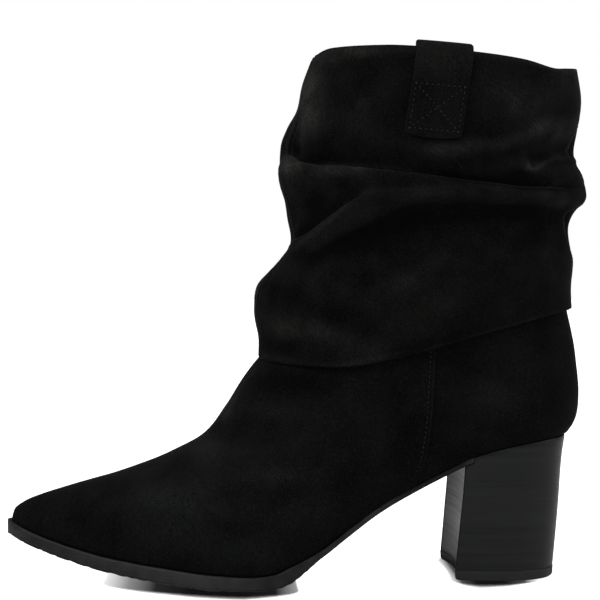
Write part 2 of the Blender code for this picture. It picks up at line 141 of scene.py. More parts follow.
# Rings of the slouched shaft from the hem up: rows made up to the next ring; front, back, half widths
# and drop on the inner side; heights and pushes every 30 degrees from the front past the outer side.
STATIONS = (0.0, 30.0, 60.0, 90.0, 120.0, 150.0, 180.0)
NONE = (0.0, 0.0, 0.0, 0.0, 0.0, 0.0, 0.0)
RINGS = (
    ("hem", 5, (-17.0, 125.2, 39.0, 39.0, 0.0),
     (99.0, 97.8, 96.8, 103.4, 112.8, 119.2, 121.0), (-1.2, 0.9, 2.4, 2.6, 2.2, 0.9, 0.0)),
    ("hem_turn", 9, (-17.4, 125.2, 43.6, 43.4, 0.0),
     (106.0, 105.2, 104.8, 111.5, 121.0, 126.5, 128.0), NONE),
    ("lower_belly", 14, (-19.3, 126.3, 46.2, 45.8, -1.0),
     (120.5, 119.5, 122.0, 132.5, 141.0, 142.5, 141.0), NONE),
    ("groove", 10, (-17.7, 124.7, 44.0, 44.0, -3.0),
     (130.5, 132.0, 147.5, 161.5, 163.5, 161.8, 159.7), NONE),
    ("band_belly", 10, (-12.4, 127.9, 48.2, 47.5, -3.0),
     (137.0, 142.0, 159.0, 168.8, 168.0, 166.6, 165.4), NONE),
    ("front_lip", 8, (-4.0, 130.7, 48.0, 47.4, -3.0),
     (145.8, 153.9, 170.5, 172.2, 170.0, 168.8, 167.8), NONE),
    ("front_pocket", 11, (-3.0, 131.9, 47.8, 47.2, -3.0),
     (149.0, 152.6, 173.4, 174.3, 171.5, 170.6, 170.4), (0.0, -4.2, -0.9, 0.0, 0.0, 0.0, 0.0)),
    ("facet", 10, (-4.2, 131.9, 47.0, 46.5, -3.0),
     (162.0, 166.0, 177.8, 176.0, 172.8, 172.4, 173.0), (0.0, -1.2, -0.3, 0.0, 0.0, 0.0, 0.0)),
    ("roll_crest", 9, (-7.5, 131.5, 45.2, 44.8, -3.0),
     (184.0, 184.9, 182.0, 177.6, 173.4, 174.8, 175.8), (0.0, -0.4, 0.0, 0.0, 0.0, 0.0, 0.0)),
    ("roll_pocket", 10, (-7.5, 130.1, 41.2, 41.0, -3.0),
     (189.0, 181.6, 178.2, 173.6, 169.4, 177.6, 178.8), (0.0, -4.8, -2.1, -0.8, -0.2, 2.2, 0.0)),
    ("upper_base", 8, (-6.7, 128.6, 40.6, 40.4, -2.0),
     (195.0, 192.6, 189.0, 184.6, 180.6, 181.6, 182.2), (0.0, -3.8, -1.4, 0.2, 0.8, 2.4, 0.0)),
    ("lobe_top", 8, (-4.3, 126.6, 41.0, 40.8, -1.0),
     (201.0, 200.0, 197.0, 193.6, 190.4, 187.2, 187.2), (0.0, -2.2, -0.5, 0.2, 0.2, 0.8, 0.0)),
    ("upper_middle", 7, (0.2, 128.2, 41.4, 41.2, 0.0),
     (210.0, 210.0, 209.0, 207.0, 204.5, 203.5, 204.5), NONE),
    ("upper_high", 7, (2.3, 129.0, 41.9, 41.7, 0.0),
     (220.5, 221.5, 221.0, 219.0, 216.5, 215.5, 216.5), NONE),
    ("collar", 1, (6.4, 127.2, 42.2, 42.0, 0.0),
     (231.8, 235.0, 234.4, 231.7, 228.6, 226.5, 228.3), NONE),
)
# Stations set between those: angle, height and push. The roll starts at the first, and past the second
# the pocket over it closes, so that the back lobe is one rounded mass.
BETWEEN = {
    "roll_crest": ((15.0, 188.6, 0.0), (135.0, 173.2, 0.0)),
    "roll_pocket": ((15.0, 189.6, -3.4), (135.0, 174.8, 2.6)),
    "upper_base": ((15.0, 195.0, -3.2), (135.0, 180.8, 3.0)),
    "lobe_top": ((15.0, 201.0, -2.2), (135.0, 187.2, 0.6)),
    "collar": ((140.0, 225.8, 0.0),),
}
FRONT_SEAM = 11.0      # degrees from the front, on the outer side
# The back seam up the shaft: height, degrees, and how far it gapes, which it does over and under the lobe.
BACK_SEAM = (
    (121.0, 172.0, 0.3), (140.0, 170.0, 0.3), (148.0, 164.0, 1.0), (162.5, 161.0, 1.2),
    (166.0, 163.0, 0.1), (176.0, 165.0, 0.1), (186.5, 158.0, 0.1), (189.5, 155.0, 1.2),
    (197.0, 160.0, 1.1), (204.0, 169.0, 0.5), (212.0, 174.0, 0.2), (232.0, 175.0, 0.2),
)
SEAM_RADIUS = 45.0     # of the shaft at its seams
SEAM_CROWD = 0.27      # how far the columns crowd towards the seams
GAPE_TUCK = 1.3        # depth of the back seam where it gapes
FRONT_GROOVE = 0.9     # depth of the front seam
HEM_STAND = 0.5        # of the hem off the foot

# Soft ridges (+) and troughs (-) laid on the outer side: height, width, then a path of (x, z).
SHAFT_STROKES = {
    "lower trough": (-1.6, 8.0, ((-10, 128), (6, 121), (24, 117))),
    "lower ridge": (1.2, 5.5, ((-10, 113), (4, 109.5), (18, 108))),
    "groove line": (-1.8, 4.0, ((118, 163), (96, 164), (73, 164.5), (51, 161.5), (38, 157), (20, 150),
                                (5, 144))),
    "band ridge": (1.0, 5.0, ((112, 171), (92, 171.5), (70, 171), (45, 167), (25, 159), (8, 149))),
    "notch ridge": (1.3, 1.3, ((-1.5, 148), (0.2, 154.3), (1, 158.5))),
    "lip edge": (0.6, 1.5, ((-1.8, 148), (9.4, 156.6), (16.9, 163), (21.5, 168))),
    "facet hollow": (-1.7, 6.0, ((6, 166), (12, 171), (20, 174))),
    "facet ridge": (0.6, 3.0, ((-4, 178), (0, 170), (2, 163))),
    "lip roll": (0.9, 3.0, ((-4, 184), (6, 180.5), (24, 178.5))),
    "front tuck": (-1.5, 2.4, ((0.5, 204), (-0.4, 199), (-1.0, 194), (-0.5, 190))),
    "tuft hollow": (-1.0, 1.7, ((100.2, 187), (104, 189.2), (110, 190.9), (118, 191.2))),
    "tuft ridge": (1.2, 2.2, ((96, 191), (96.8, 186.5), (98.9, 182.5), (101.2, 181.1), (103.5, 182.2))),
    "lobe edge": (0.9, 1.5, ((103.5, 182.2), (107, 185), (112, 186.8), (119, 187.4), (125, 187))),
    "lobe belly": (0.8, 5.0, ((112, 179), (122, 178))),
    "pocket ridge": (1.0, 4.0, ((47, 190), (60, 188.5), (72, 191))),
    "back ridge": (1.5, 4.0, ((84, 191), (97.7, 196), (107, 200), (120, 202))),
    "collar dip": (-1.0, 9.0, ((28, 214), (38, 205))),
    "front swell": (0.9, 8.0, ((10, 222), (8, 206))),
}
FOOT_STROKES = {
    "instep trough": (-0.9, 6.0, ((-18, 90), (-2, 87), (14, 87))),
    "instep ridge": (0.8, 5.0, ((-28, 79), (-10, 76), (6, 74))),
    "vamp trough": (-0.5, 7.0, ((-34, 62), (-14, 54), (4, 40))),
    "vamp ridge": (0.5, 7.0, ((-44, 54), (-26, 44), (-8, 30))),
    "ankle hollow": (-0.7, 9.0, ((70, 96), (86, 92))),
}
# Patches on the outer side, partly brushed nap and partly painted highlight, with painted shade where the
# strength is negative: x, z, reach along, reach up, strength.
SHAFT_NAP_AND_LIGHT = (
    (5, 219, 5, 8, 0.42), (25, 232.5, 9, 2.6, 0.28), (13, 230, 6, 3, 0.16), (3, 206, 6, 10, 0.36),
    (26, 208, 12, 9, 0.09), (18, 181.5, 13, 2.5, 0.34), (-4, 184, 5, 5, 0.50), (64, 189.5, 8, 3, 0.24),
    (46, 189, 7, 4, -0.06), (75, 192, 8, 2.5, 0.18), (98, 211, 11, 8, 0.22), (112, 199, 13, 6, 0.28),
    (104, 171, 17, 3, 0.14), (109, 190.5, 10, 3, 0.10), (94, 184.5, 8, 3.5, 0.13), (43, 134, 8, 4, 0.12),
    (58, 122, 11, 5, 0.04), (16, 105, 17, 4.5, 0.13), (31, 141, 10, 5, 0.06), (112, 146, 14, 7, -0.05),
    (66, 148, 8, 4, -0.05), (3, 112, 18, 5, 0.20), (76, 217, 14, 8, 0.06), (117, 222, 7, 7, 0.12),
    (62, 137, 40, 9, -0.06), (26, 175, 18, 6, 0.08), (60, 172, 20, 2.5, 0.08),
)
FOOT_NAP_AND_LIGHT = (
    (-9, 76, 18, 4, 0.07), (-6, 89, 14, 5, -0.05), (-8, 50, 12, 5, 0.17), (-50, 38, 16, 7, 0.16),
    (-58, 24, 16, 8, 0.09), (2, 35, 11, 7, 0.10), (-22, 18, 16, 7, 0.07), (-40, 60, 9, 5, 0.14),
    (-32, 75, 4, 8, 0.08), (-25, 38, 11, 6, 0.05), (-102, 30, 14, 6, -0.04), (84, 83, 12, 9, 0.13),
    (97, 108, 9, 6, 0.03), (52, 60, 8, 8, -0.05),
)
# Edges where the nap is rubbed pale, partly with a painted highlight, and where a negative strength paints
# shade: strength, width, then a path of (x, z).
FOOT_EDGE_RUBS_AND_LIGHT = {
    "instep front": (0.16, 1.0, ((-19.4, 93.2), (-25.1, 86.7), (-29.2, 78.6), (-33.3, 71.2))),
}
SHAFT_EDGE_RUBS_AND_LIGHT = {
    "collar rim": (0.30, 0.9, ((6, 231.4), (14.5, 234.4), (36.6, 233.5), (66.8, 231.2), (97, 228.1),
                               (119, 225.5), (127, 228.3))),
    "roll edge": (0.16, 0.9, ((4, 184.6), (20, 183.4), (34, 182.2), (48, 181.0))),
    "roll shade": (-0.18, 1.6, ((62, 179.0), (73, 176.9), (87, 175.5), (97, 173.9), (106, 173.4),
                                (118, 173.6))),
    "lip edge": (0.16, 0.8, ((-1.8, 148), (9.4, 156.6), (16.9, 163), (20.0, 166.4))),
    "tuft edge": (0.40, 1.0, ((98.2, 183.4), (99.4, 182.2), (101.2, 181.5), (103.2, 182.2))),
    "lobe edge": (0.12, 0.7, ((103.5, 182.4), (107, 185.2), (112, 187), (119, 187.6), (125, 187.2))),
    "back fold": (0.14, 2.2, ((86, 191), (97.7, 196.4), (107, 200.4))),
    "hem edge": (0.12, 0.8, ((-16, 99.4), (-7, 98.2), (18.6, 97.2), (54, 103.8), (89, 113.2), (115, 119.6))),
}
# Soft unevenness of the leather and of its nap: size and height of each wave.
FOOT_WAVES = ((26.0, 0.35), (9.0, 0.12))
SHAFT_WAVES = ((24.0, 0.5), (9.0, 0.18))
NAP_WAVES = ((26.0, 0.06), (9.0, 0.04))
PATCH_WAVES = ((5.0, 0.7), (14.0, 0.7))
PATCH_LIMITS = (0.2, 1.8)
NAP_LIMITS = (-0.2, 1.0)
FOOT_DEPTH = 0.45       # of the foot's unevenness beside the shaft's
INNER_NAP = 0.6         # strength of the patches on the inner side
INNER_SHARE = 0.55      # height of the folds on the inner side
SIDE_BLEND = 12.0       # folds fade out over this width towards the front and back
FOLD_PASSES = 24        # of the smoothing that folds stand out from
FOLD_SHADE_PER_MM = 0.1         # painted highlight or shade for each millimetre that a fold stands out or sinks in
FOLD_SHADE_LIMITS = (-0.08, 0.05)

# The heel from its lift up: part of the height, front, back and half width.
HEEL = np.array(((0.0, 69.3, 116.2, 24.4), (0.45, 71.2, 118.6, 25.4), (0.84, 72.8, 120.4, 26.4),
                 (1.0, 73.2, 121.9, 27.0)))
HEEL_BELLY = 2.4        # how far its sides swell at the lift
HEEL_ROUND = 25.0       # length of its rounded back
HEEL_SQUARE = (3.3, 2.7)    # power of that rounding at the lift and at the top
HEEL_CORNER = 1.3       # rounding of the corners beside its front
BREAST_HOLLOW = 3.0     # depth of the hollow in its front
LIFT_HEIGHT = 4.7
# Edge of the lift from below: height, and how far it stands out.
LIFT_EDGE = ((0.0, -1.5), (0.25, -0.8), (0.8, -0.25), (1.5, 0.0), (LIFT_HEIGHT - 0.6, 0.1),
             (LIFT_HEIGHT - 0.2, 0.1), (LIFT_HEIGHT, -0.02))

# Edge of the outsole from below: how far in from the outline, and part of the thickness.
SOLE_EDGE = ((1.5, 0.0), (0.8, 0.03), (0.35, 0.08), (0.15, 0.13), (0.3, 0.145), (0.3, 0.165), (0.1, 0.18),
             (0.0, 0.3), (-0.05, 0.6), (0.0, 0.88), (0.15, 0.95), (0.5, 1.0))
TREAD_LINE = (0.14, 0.17)   # between these parts of the thickness a line marks off the tread
NICK_SEED = 11
NICK_SHARE = 0.16       # of the edge's points that are nicked
RIB_PITCH = 6.0         # of the ribs under the sole
RIB_DEPTH = 0.7
# Edge of the insole from below: part of its width, and height.
INSOLE_EDGE = ((0.99, 0.0), (1.0, 0.3), (1.0, 1.6), (0.985, 2.0), (0.95, 2.2))

# The strap of the pull loop: its lower end, the collar's rim, its middle at both, and how far it goes
# down inside.
STRAP_LOW = 196.0
STRAP_RIM = 232.4
STRAP_X = (56.6, 61.9)
STRAP_INSIDE = 22.0
STRAP_ROWS = 40         # rows outside the collar
STRAP_SLANT = 0.09      # fall for each millimetre along the boot
STRAP_BOW = 1.3         # how far its lower end bows down
LOOP_RISE = 5.4         # height of the loop over the last row outside
# The crossed box sewn on it.
BOX_LOW = 198.0
BOX_HIGH = 217.0
BOX_HALF = 10.4
STITCH_SEED = 4         # of the stitches' uneven lengths

# The stage. The floor's painted contact shadow reaches far only where the ball and the heel stand on it:
# place along the frame and reach, in millimetres, and paleness.
FLOOR_HALF = 4.0        # m, half the width of the paper
FLOOR_DROP = 0.0002     # m, the paper lies this far under the boot
FLOOR_SPAN = (-100.0, 150.0)
FLOOR_SHADE = (
    (-100, 2, 1.0), (-90, 6, 1.0), (-76, 9, 0.25), (-64, 12, 0.02), (-48, 17, 0.006), (-26, 21, 0.006),
    (-12, 14, 0.012), (-3, 6, 0.3), (3, 2, 1.0), (66, 2, 1.0), (71, 14, 0.06), (77, 20, 0.008),
    (90, 14, 0.008), (99, 6, 0.06), (106, 2, 1.0), (150, 2, 1.0),
)
PAPER = "#e6e6e6"
SHEEN_TINT = "#c8c8c8"
WORLD_LIGHT = 0.15      # of the white that the camera sees
# Soft boxes: place and aim in metres, size, watts.
SOFT_BOXES = (
    ("left_box", (-1.3, -0.8, 1.0), (0.0, 0.0, 0.12), 1.0, 26.0),
    ("top_box", (0.1, 0.1, 1.8), (0.0, 0.0, 0.1), 1.4, 30.0),
    ("right_box", (1.4, -0.7, 0.9), (0.03, 0.0, 0.1), 0.9, 18.0),
)
VIEW_LENS = 92.4        # mm, on a sensor of 36 mm
VIEW_AIM = (1.6, 0.0, 124.0)
VIEW_ANGLES = (-2.8, 1.785)     # degrees round from the outer side, and up
VIEW_DISTANCE = 0.7     # m, from the camera to the aim


def ramp(value, low, high):
    """0 up to `low` and 1 from `high` on, straight between them; `high` may be the smaller one."""
    return np.clip((value - low) / (high - low), 0.0, 1.0)


def bell(far, width):
    """Soft bump that is 1 at 0 and fades over `width`."""
    return np.exp(-(far / width) ** 2)


def hermite(u, start, end, leave, arrive):
    """Cubic between two values at the part u of a step, from its slopes over the whole step."""
    return ((1.0 + 2.0 * u) * (1.0 - u) ** 2 * start + u * (1.0 - u) ** 2 * leave
            + u * u * (3.0 - 2.0 * u) * end + u * u * (u - 1.0) * arrive)


def curve(places, knots, values, flat=False):
    """Smooth curve through (knots, values) without overshoot; `flat` levels it at both ends."""
    knots = np.asarray(knots, dtype=float)
    values = np.asarray(values, dtype=float)
    step = np.diff(knots)
    rise = np.diff(values) / step
    same = rise[:-1] * rise[1:] > 0.0
    before = np.where(same, rise[:-1], 1.0)
    after = np.where(same, rise[1:], 1.0)
    wide = 2.0 * step[1:] + step[:-1]
    near = step[1:] + 2.0 * step[:-1]
    slope = np.zeros_like(values)
    slope[1:-1] = np.where(same, (wide + near) / (wide / before + near / after), 0.0)
    if not flat:
        slope[0] = rise[0]
        slope[-1] = rise[-1]
    places = np.clip(places, knots[0], knots[-1])
    i = np.clip(np.searchsorted(knots, places, side="right") - 1, 0, len(step) - 1)
    return hermite((places - knots[i]) / step[i], values[i], values[i + 1],
                   step[i] * slope[i], step[i] * slope[i + 1])


def sole(column, x):
    """One column of the sole's table at the place x."""
    return curve(x, SOLE[:, 0], SOLE[:, SOLE_COLUMNS.index(column)])


def at_level(level):
    """Values of the foot's table at one level, by column."""
    knots = np.linspace(0.0, 1.0, len(LEVELS))
    return {name: float(curve(level, knots, LEVELS[:, i])) for i, name in enumerate(LEVEL_COLUMNS)}


def round_end(part, power=2.0):
    """Width of a rounded end: 0 at its tip and 1 from its full width on."""
    part = np.clip(part, 0.0, 1.0)
    return (1.0 - (1.0 - part) ** power) ** (1.0 / power)


def grid_normals(grid, smoothing=1):
    """Outward unit normals of a grid of rings that runs round the boot."""
    along = np.gradient(grid, axis=0)
    around = np.roll(grid, -1, axis=1) - np.roll(grid, 1, axis=1)
    normal = np.cross(along, around)
    normal /= np.linalg.norm(normal, axis=2, keepdims=True)
    for _ in range(smoothing):
        normal[1:-1] = normal[:-2] + 2.0 * normal[1:-1] + normal[2:]
        normal /= np.linalg.norm(normal, axis=2, keepdims=True)
    if ((grid - grid.mean(axis=1, keepdims=True)) * normal).sum() < 0.0:
        normal = -normal
    return normal


def stroke_height(grid, strokes):
    """Height of the listed ridges and troughs at each point; the inner side gets them softer."""
    flat = grid[..., (0, 2)]
    total = np.zeros(grid.shape[:2])
    for height, width, path in strokes.values():
        nearest = np.full(grid.shape[:2], np.inf)
        for a, b in zip(np.array(path[:-1], dtype=float), np.array(path[1:], dtype=float)):
            part = ((flat - a) @ (b - a)) / ((b - a) @ (b - a))
            away = flat - a - np.clip(part, 0.0, 1.0)[..., None] * (b - a)
            nearest = np.minimum(nearest, np.linalg.norm(away, axis=2))
        total += height * bell(nearest, width)
    y = grid[..., 1]
    return total * (ramp(y, 0.0, -SIDE_BLEND) + INNER_SHARE * ramp(y, 0.0, SIDE_BLEND))


def ripple(grid, waves):
    """Slow unevenness of soft leather, the same each run, from the size and height of its waves."""
    total = np.zeros(grid.shape[:2])
    for size, height in waves:
        wave = [noise.noise(Vector(p)) for p in grid.reshape(-1, 3) / size]
        total += np.array(wave).reshape(grid.shape[:2]) * height
    return total


def painted_fold_shade(grid):
    """Painted highlight on ridges and painted shade in hollows, from how far each point stands out of the
    grid smoothed round it."""
    smooth = grid.copy()
    for _ in range(FOLD_PASSES):
        smooth[1:-1] = (smooth[:-2] + 2.0 * smooth[1:-1] + smooth[2:]) / 4.0
        smooth = (np.roll(smooth, 1, axis=1) + 2.0 * smooth + np.roll(smooth, -1, axis=1)) / 4.0
    stand = ((grid - smooth) * grid_normals(grid)).sum(axis=2)
    stand = stand - np.median(stand, axis=0, keepdims=True)
    return np.clip(stand * FOLD_SHADE_PER_MM, *FOLD_SHADE_LIMITS)


def nap_and_light_amount(grid, patches_and_light, edge_rubs_and_light, depth):
    """How pale the suede is, partly brushed pile and partly painted highlight and shade: listed spots and
    edge lines over the painted shade and highlight of the folds and a slow unevenness, which `depth` weighs."""
    amount = (ripple(grid, NAP_WAVES) + painted_fold_shade(grid)) * depth
    amount = amount + stroke_height(grid, edge_rubs_and_light)
    side = np.where(grid[..., 1] < 0.0, 1.0, INNER_NAP)
    uneven = np.clip(1.0 + ripple(grid, PATCH_WAVES) * depth, *PATCH_LIMITS)
    for x, z, along, up, strength in patches_and_light:
        far = ((grid[..., 0] - x) / along) ** 2 + ((grid[..., 2] - z) / up) ** 2
        amount += strength * side * uneven * np.exp(-far)
    return np.clip(amount, *NAP_LIMITS)


def foot_level(level):
    """Points of the counter's outer face at one level, from the back by the outer side, and how far
    each lies behind the lapped seam."""
    value = at_level(level)
    front, back, seam = value["front_x"], value["back_x"], value["seam_x"]
    behind = np.linspace(0.0, np.pi / 2.0, COUNTER_COLUMNS)
    ahead = np.linspace(0.0, np.pi / 2.0, VAMP_COLUMNS)
    # The wide columns start a step behind and a step ahead of the fine ones.
    lap = seam + SEAM_BEHIND[0] + 2.0
    edge = seam + SEAM_AHEAD[-1] - 2.5
    x = np.concatenate((back + (lap - back) * (1.0 - np.cos(behind)), seam + np.array(SEAM_BEHIND),
                        seam + np.array(SEAM_AHEAD), edge + (front - edge) * np.sin(ahead)))
    scale = curve(x, FOOT_PLACES, (value["ball"], value["waist"], value["seat"]), flat=True)
    ends = round_end((x - front) / value["nose"]) * round_end((back - x) / value["seat_round"])
    along = (x - front) / (back - front)
    chord = sole("top", front) + (sole("top", back) - sole("top", front)) * along
    z = value["front_z"] + (value["back_z"] - value["front_z"]) * along
    z = z + value["sag"] * (sole("top", x) - chord) + PIECE_GAP
    outer = np.column_stack((x, sole("middle", x) - sole("outer", x) * scale * ends, z))
    inner = np.column_stack((x, sole("middle", x) + sole("inner", x) * scale * ends, z))
    lag = x - seam
    return np.concatenate((outer, inner[-2:0:-1])), np.concatenate((lag, lag[-2:0:-1]))


def foot_faces(sizes, rows=104):
    """Outer and inner faces of the foot, and the distance of each column from the seam."""
    levels = [foot_level(level) for level in np.linspace(0.0, 1.0, rows)]
    face = np.array([points for points, _ in levels])
    lag = np.array([behind for _, behind in levels])
    normal = grid_normals(face)
    # The vamp's edge curls up a little, the counter is pressed in behind it, and the thread pulls a groove.
    lap = np.where(lag < 0.0, sizes.vamp_lap * np.exp(lag / LAP_FADE), 0.0)
    lap = lap + np.where(lag < 0.0, EDGE_CURL * bell(lag, 1.1), -EDGE_DENT * bell(lag, 1.5))
    lap = lap - SEAM_GROOVE * bell(lag + sizes.seam_inset, 0.55)
    relief = stroke_height(face, FOOT_STROKES) + ripple(face, FOOT_WAVES)
    relief = relief * ramp(np.linspace(0.0, 1.0, rows), 0.0, STILL_PART)[:, None]
    inner = face + normal * (relief - sizes.foot_wall)[..., None]
    return face + normal * (lap + relief)[..., None], inner, lag


def shaft_turns(count):
    """Angles round the shaft, closer together at the front and back seams."""
    turn = np.linspace(0.0, 2.0 * np.pi, count, endpoint=False)
    return np.degrees(turn - SEAM_CROWD * np.sin(2.0 * turn))


def shaft_rings(foot_tree, sizes, count):
    """Named rings of the shaft as points; the hem is laid round the foot itself."""
    turn = shaft_turns(count)
    is_outer = turn <= 180.0
    station = np.where(is_outer, turn, 360.0 - turn)
    cosine = np.cos(np.radians(station))
    sine = np.sin(np.radians(station))
    side = np.where(is_outer, -1.0, 1.0)
    rings = []
    for name, _, (front, back, outer, inner, drop), heights, pushes in RINGS:
        half = np.where(is_outer, outer, inner)
        length = (back - front) / 2.0
        middle = (front + back) / 2.0
        out_x = -cosine * half
        out_y = side * sine * length
        size = np.hypot(out_x, out_y)
        angles, heights, pushes = zip(*sorted((*zip(STATIONS, heights, pushes), *BETWEEN.get(name, ()))))
        push = curve(station, angles, pushes, flat=True)
        x = middle - length * cosine + push * out_x / size
        y = side * half * sine + push * out_y / size
        z = curve(station, angles, heights, flat=True) + np.where(is_outer, 0.0, drop) * sine ** 2
        if name == "hem":
            for i in range(count):
                away = np.array((x[i] - middle, y[i]))
                away /= np.linalg.norm(away)
                begin = (middle + FAR_OUT * away[0], FAR_OUT * away[1], z[i])
                spot = foot_tree.ray_cast(begin, (-away[0], -away[1], 0.0))[0]
                if spot is None:
                    raise RuntimeError("the hem found no foot to hang over")
                stand = PIECE_GAP + HEM_STAND + sizes.shaft_wall + push[i]
                x[i] = spot[0] + stand * away[0]
                y[i] = spot[1] + stand * away[1]
        rings.append(np.column_stack((x, y, z)))
    return np.array(rings)


def through(rings, parts):
    """Grid of rings on a smooth surface through the named rings."""
    chord = np.linalg.norm(np.diff(rings, axis=0), axis=2)[:, :, None]
    speed = np.diff(rings, axis=0) / chord
    slope = np.empty_like(rings)
    slope[0] = speed[0]
    slope[-1] = speed[-1]
    slope[1:-1] = (speed[:-1] * chord[1:] + speed[1:] * chord[:-1]) / (chord[:-1] + chord[1:])
    rows = []
    for k, part in enumerate(parts):
        for u in np.arange(part) / part:
            rows.append(hermite(u, rings[k], rings[k + 1], chord[k] * slope[k], chord[k] * slope[k + 1]))
    rows.append(rings[-1])
    return np.array(rows)


def shaft_faces(foot_tree, sizes, count=236):
    """Outer and inner faces of the shaft with its listed folds and its two closed seams, and how pale the
    suede is beside the seams: paler on their edges, partly as a painted highlight, and darkened by painted
    shade in the gape."""
    face = through(shaft_rings(foot_tree, sizes, count), [ring[1] for ring in RINGS[:-1]])
    normal = grid_normals(face)
    row = np.arange(face.shape[0])
    height = stroke_height(face, SHAFT_STROKES) + ripple(face, SHAFT_WAVES)
    # Towards the hem and the collar the folds fade out over eight rows.
    ends = ramp(np.minimum(row, row[::-1]), 0.0, 8.0)[:, None]
    turn = shaft_turns(count)
    # Distances from the two seams round the shaft, in millimetres.
    front = SEAM_RADIUS * np.radians(turn - FRONT_SEAM)[None, :]
    levels, angles, gapes = zip(*BACK_SEAM)
    back = SEAM_RADIUS * np.radians(turn[None, :] - curve(face[..., 2], levels, angles, flat=True))
    gape = curve(face[..., 2], levels, gapes, flat=True)
    # Where the back seam gapes, the far edge tucks in under the near one.
    beyond = ramp(back, -0.5, 0.4) * np.exp(-np.clip(back, 0.0, None) / 5.0)
    tucked = height * ends - GAPE_TUCK * gape * beyond
    # The front seam is a groove between two swellings, the back one a raised edge.
    sewn = 0.3 * bell(back + 1.3, 0.8) - FRONT_GROOVE * bell(front, 0.6)
    sewn = sewn + 0.3 * bell(np.abs(front) - 1.8, 0.9)
    folded = face + normal * tucked[..., None]
    # The nap is rubbed pale, with a painted highlight, on the seams' edges, and painted shade darkens the
    # gape.
    seam_rubs_and_shade = 0.34 * gape * bell(back + 1.4, 0.9) + 0.2 * bell(front + 1.6, 0.7)
    seam_rubs_and_shade = seam_rubs_and_shade - 0.5 * gape * ramp(back, -0.2, 0.6) * ramp(back, 11.0, 6.0)
    return folded + normal * sewn[..., None], folded - grid_normals(face, 3) * sizes.shaft_wall, seam_rubs_and_shade


def band(low, high, count):
    """Faces between two closed rings of points that start at `low` and `high`."""
    return [(low + c, low + d, high + d, high + c) for c, d in enumerate((*range(1, count), 0))]


def shell(outer, inner, rim=3):
    """Points and faces of the wall between two grids, its two rims rounded. Faces come as outer, inner
    and rim, so that each can have its own material."""
    rows, count = outer.shape[:2]
    start = rows * count
    size = 2 * start
    layers = [outer.reshape(-1, 3), inner.reshape(-1, 3)]
    groups = ([], [], [])
    for low in range(0, start - count, count):
        groups[0].extend(band(low, low + count, count))
        groups[1].extend(band(start + low + count, start + low, count))
    for row, beside in ((0, 1), (rows - 1, rows - 2)):
        out = outer[row] - outer[beside]
        out /= np.linalg.norm(out, axis=1, keepdims=True)
        middle = (outer[row] + inner[row]) / 2.0
        half = (outer[row] - inner[row]) / 2.0
        reach = np.linalg.norm(half, axis=1, keepdims=True) * RIM_REACH
        rings = [row * count]
        for angle in np.linspace(0.0, np.pi, rim + 2)[1:-1]:
            layers.append(middle + half * np.cos(angle) + out * reach * np.sin(angle))
            rings.append(size)
            size += count
        rings.append(start + row * count)
        for a, b in zip(rings, rings[1:]):
            groups[2].extend(band(b, a, count) if row == 0 else band(a, b, count))
    return np.concatenate(layers), groups


def slab(rings, across=0, relief=None):
    """Points and faces through stacked rings of paired points, capped below and above: with one polygon,
    or with `across` strips between the pairs. `relief` moves the points inside the lower cap."""
    count = len(rings[0])
    pairs = count // 2
    size = len(rings) * count
    top = size - count
    layers = list(rings)
    faces = []
    for low in range(0, top, count):
        faces.extend(band(low, low + count, count))
    for ring, base, turn in ((rings[0], 0, -1), (rings[-1], top, 1)):
        if across == 0:
            faces.append(tuple(range(base, base + count))[::turn])
            continue
        columns = [base + np.arange(pairs)]
        for step in range(1, across):
            part = step / across
            line = ring[:pairs] * (1.0 - part) + ring[pairs:][::-1] * part
            if turn < 0 and relief is not None:
                line = relief(line, part)
            layers.append(line)
            columns.append(size + np.arange(pairs))
            size += pairs
        columns.append(base + np.arange(count - 1, pairs - 1, -1))
        for a, b in zip(columns, columns[1:]):
            for i in range(pairs - 1):
                face = (a[i], a[i + 1], b[i + 1], b[i])
                faces.append(tuple(int(n) for n in face[::turn]))
    return np.concatenate(layers), faces


def side_ring(x, outer, inner, z):
    """Ring of paired points: down the outer side, back up the inner side."""
    first = np.column_stack((x, outer, z))
    second = np.column_stack((x, inner, z))
    return np.concatenate((first, second[::-1]))


def heel_plan(part, grow):
    """Plan of the heel at one part of its height, half of it: hollow front, small corner, side and back."""
    front, back, half = (float(curve(part, HEEL[:, 0], HEEL[:, i])) for i in (1, 2, 3))
    front -= grow
    back += grow
    half += grow
    spread = np.linspace(0.04, 0.94, 16)
    hollow = np.column_stack((front + BREAST_HOLLOW * (1.0 - spread ** 2), spread * half))
    turn = np.linspace(0.2, np.pi / 2.0, 6)
    corner = np.column_stack((front + HEEL_CORNER * (1.0 - np.cos(turn)) + 0.1,
                              half - HEEL_CORNER * (1.0 - np.sin(turn))))
    side_x = np.concatenate((SOLE_TAIL_X + np.array(TAIL_STEP),
                             np.linspace(SOLE_TAIL_X + 2.0, back - HEEL_ROUND, 11),
                             back - HEEL_ROUND * (1.0 - np.sin(np.linspace(0.1, np.pi / 2.0, 28)))))
    swell = HEEL_BELLY * (1.0 - part) * np.sin(ramp(side_x, front, back) * np.pi)
    power = HEEL_SQUARE[0] + (HEEL_SQUARE[1] - HEEL_SQUARE[0]) * part
    rounded = np.maximum(round_end((back - side_x) / HEEL_ROUND, power), 0.01)
    return np.concatenate((hollow, corner, np.column_stack((side_x, (half + swell) * rounded))))


def heel_ring(part, grow, height):
    """Ring of the heel's plan; `height` gives z from the plan's x and the part of the height."""
    x, half = heel_plan(part, grow).T
    return side_ring(x, -half, half, height(x, part))


def place(points):
    """Points in the boot's millimetres as metres in the frame."""
    return (np.asarray(points, dtype=float) - ZERO) * MM


def skin_of(name):
    """Search tree of a finished piece, in metres."""
    mesh = bpy.data.objects[name].data
    return BVHTree.FromPolygons([v.co for v in mesh.vertices], [p.vertices for p in mesh.polygons])


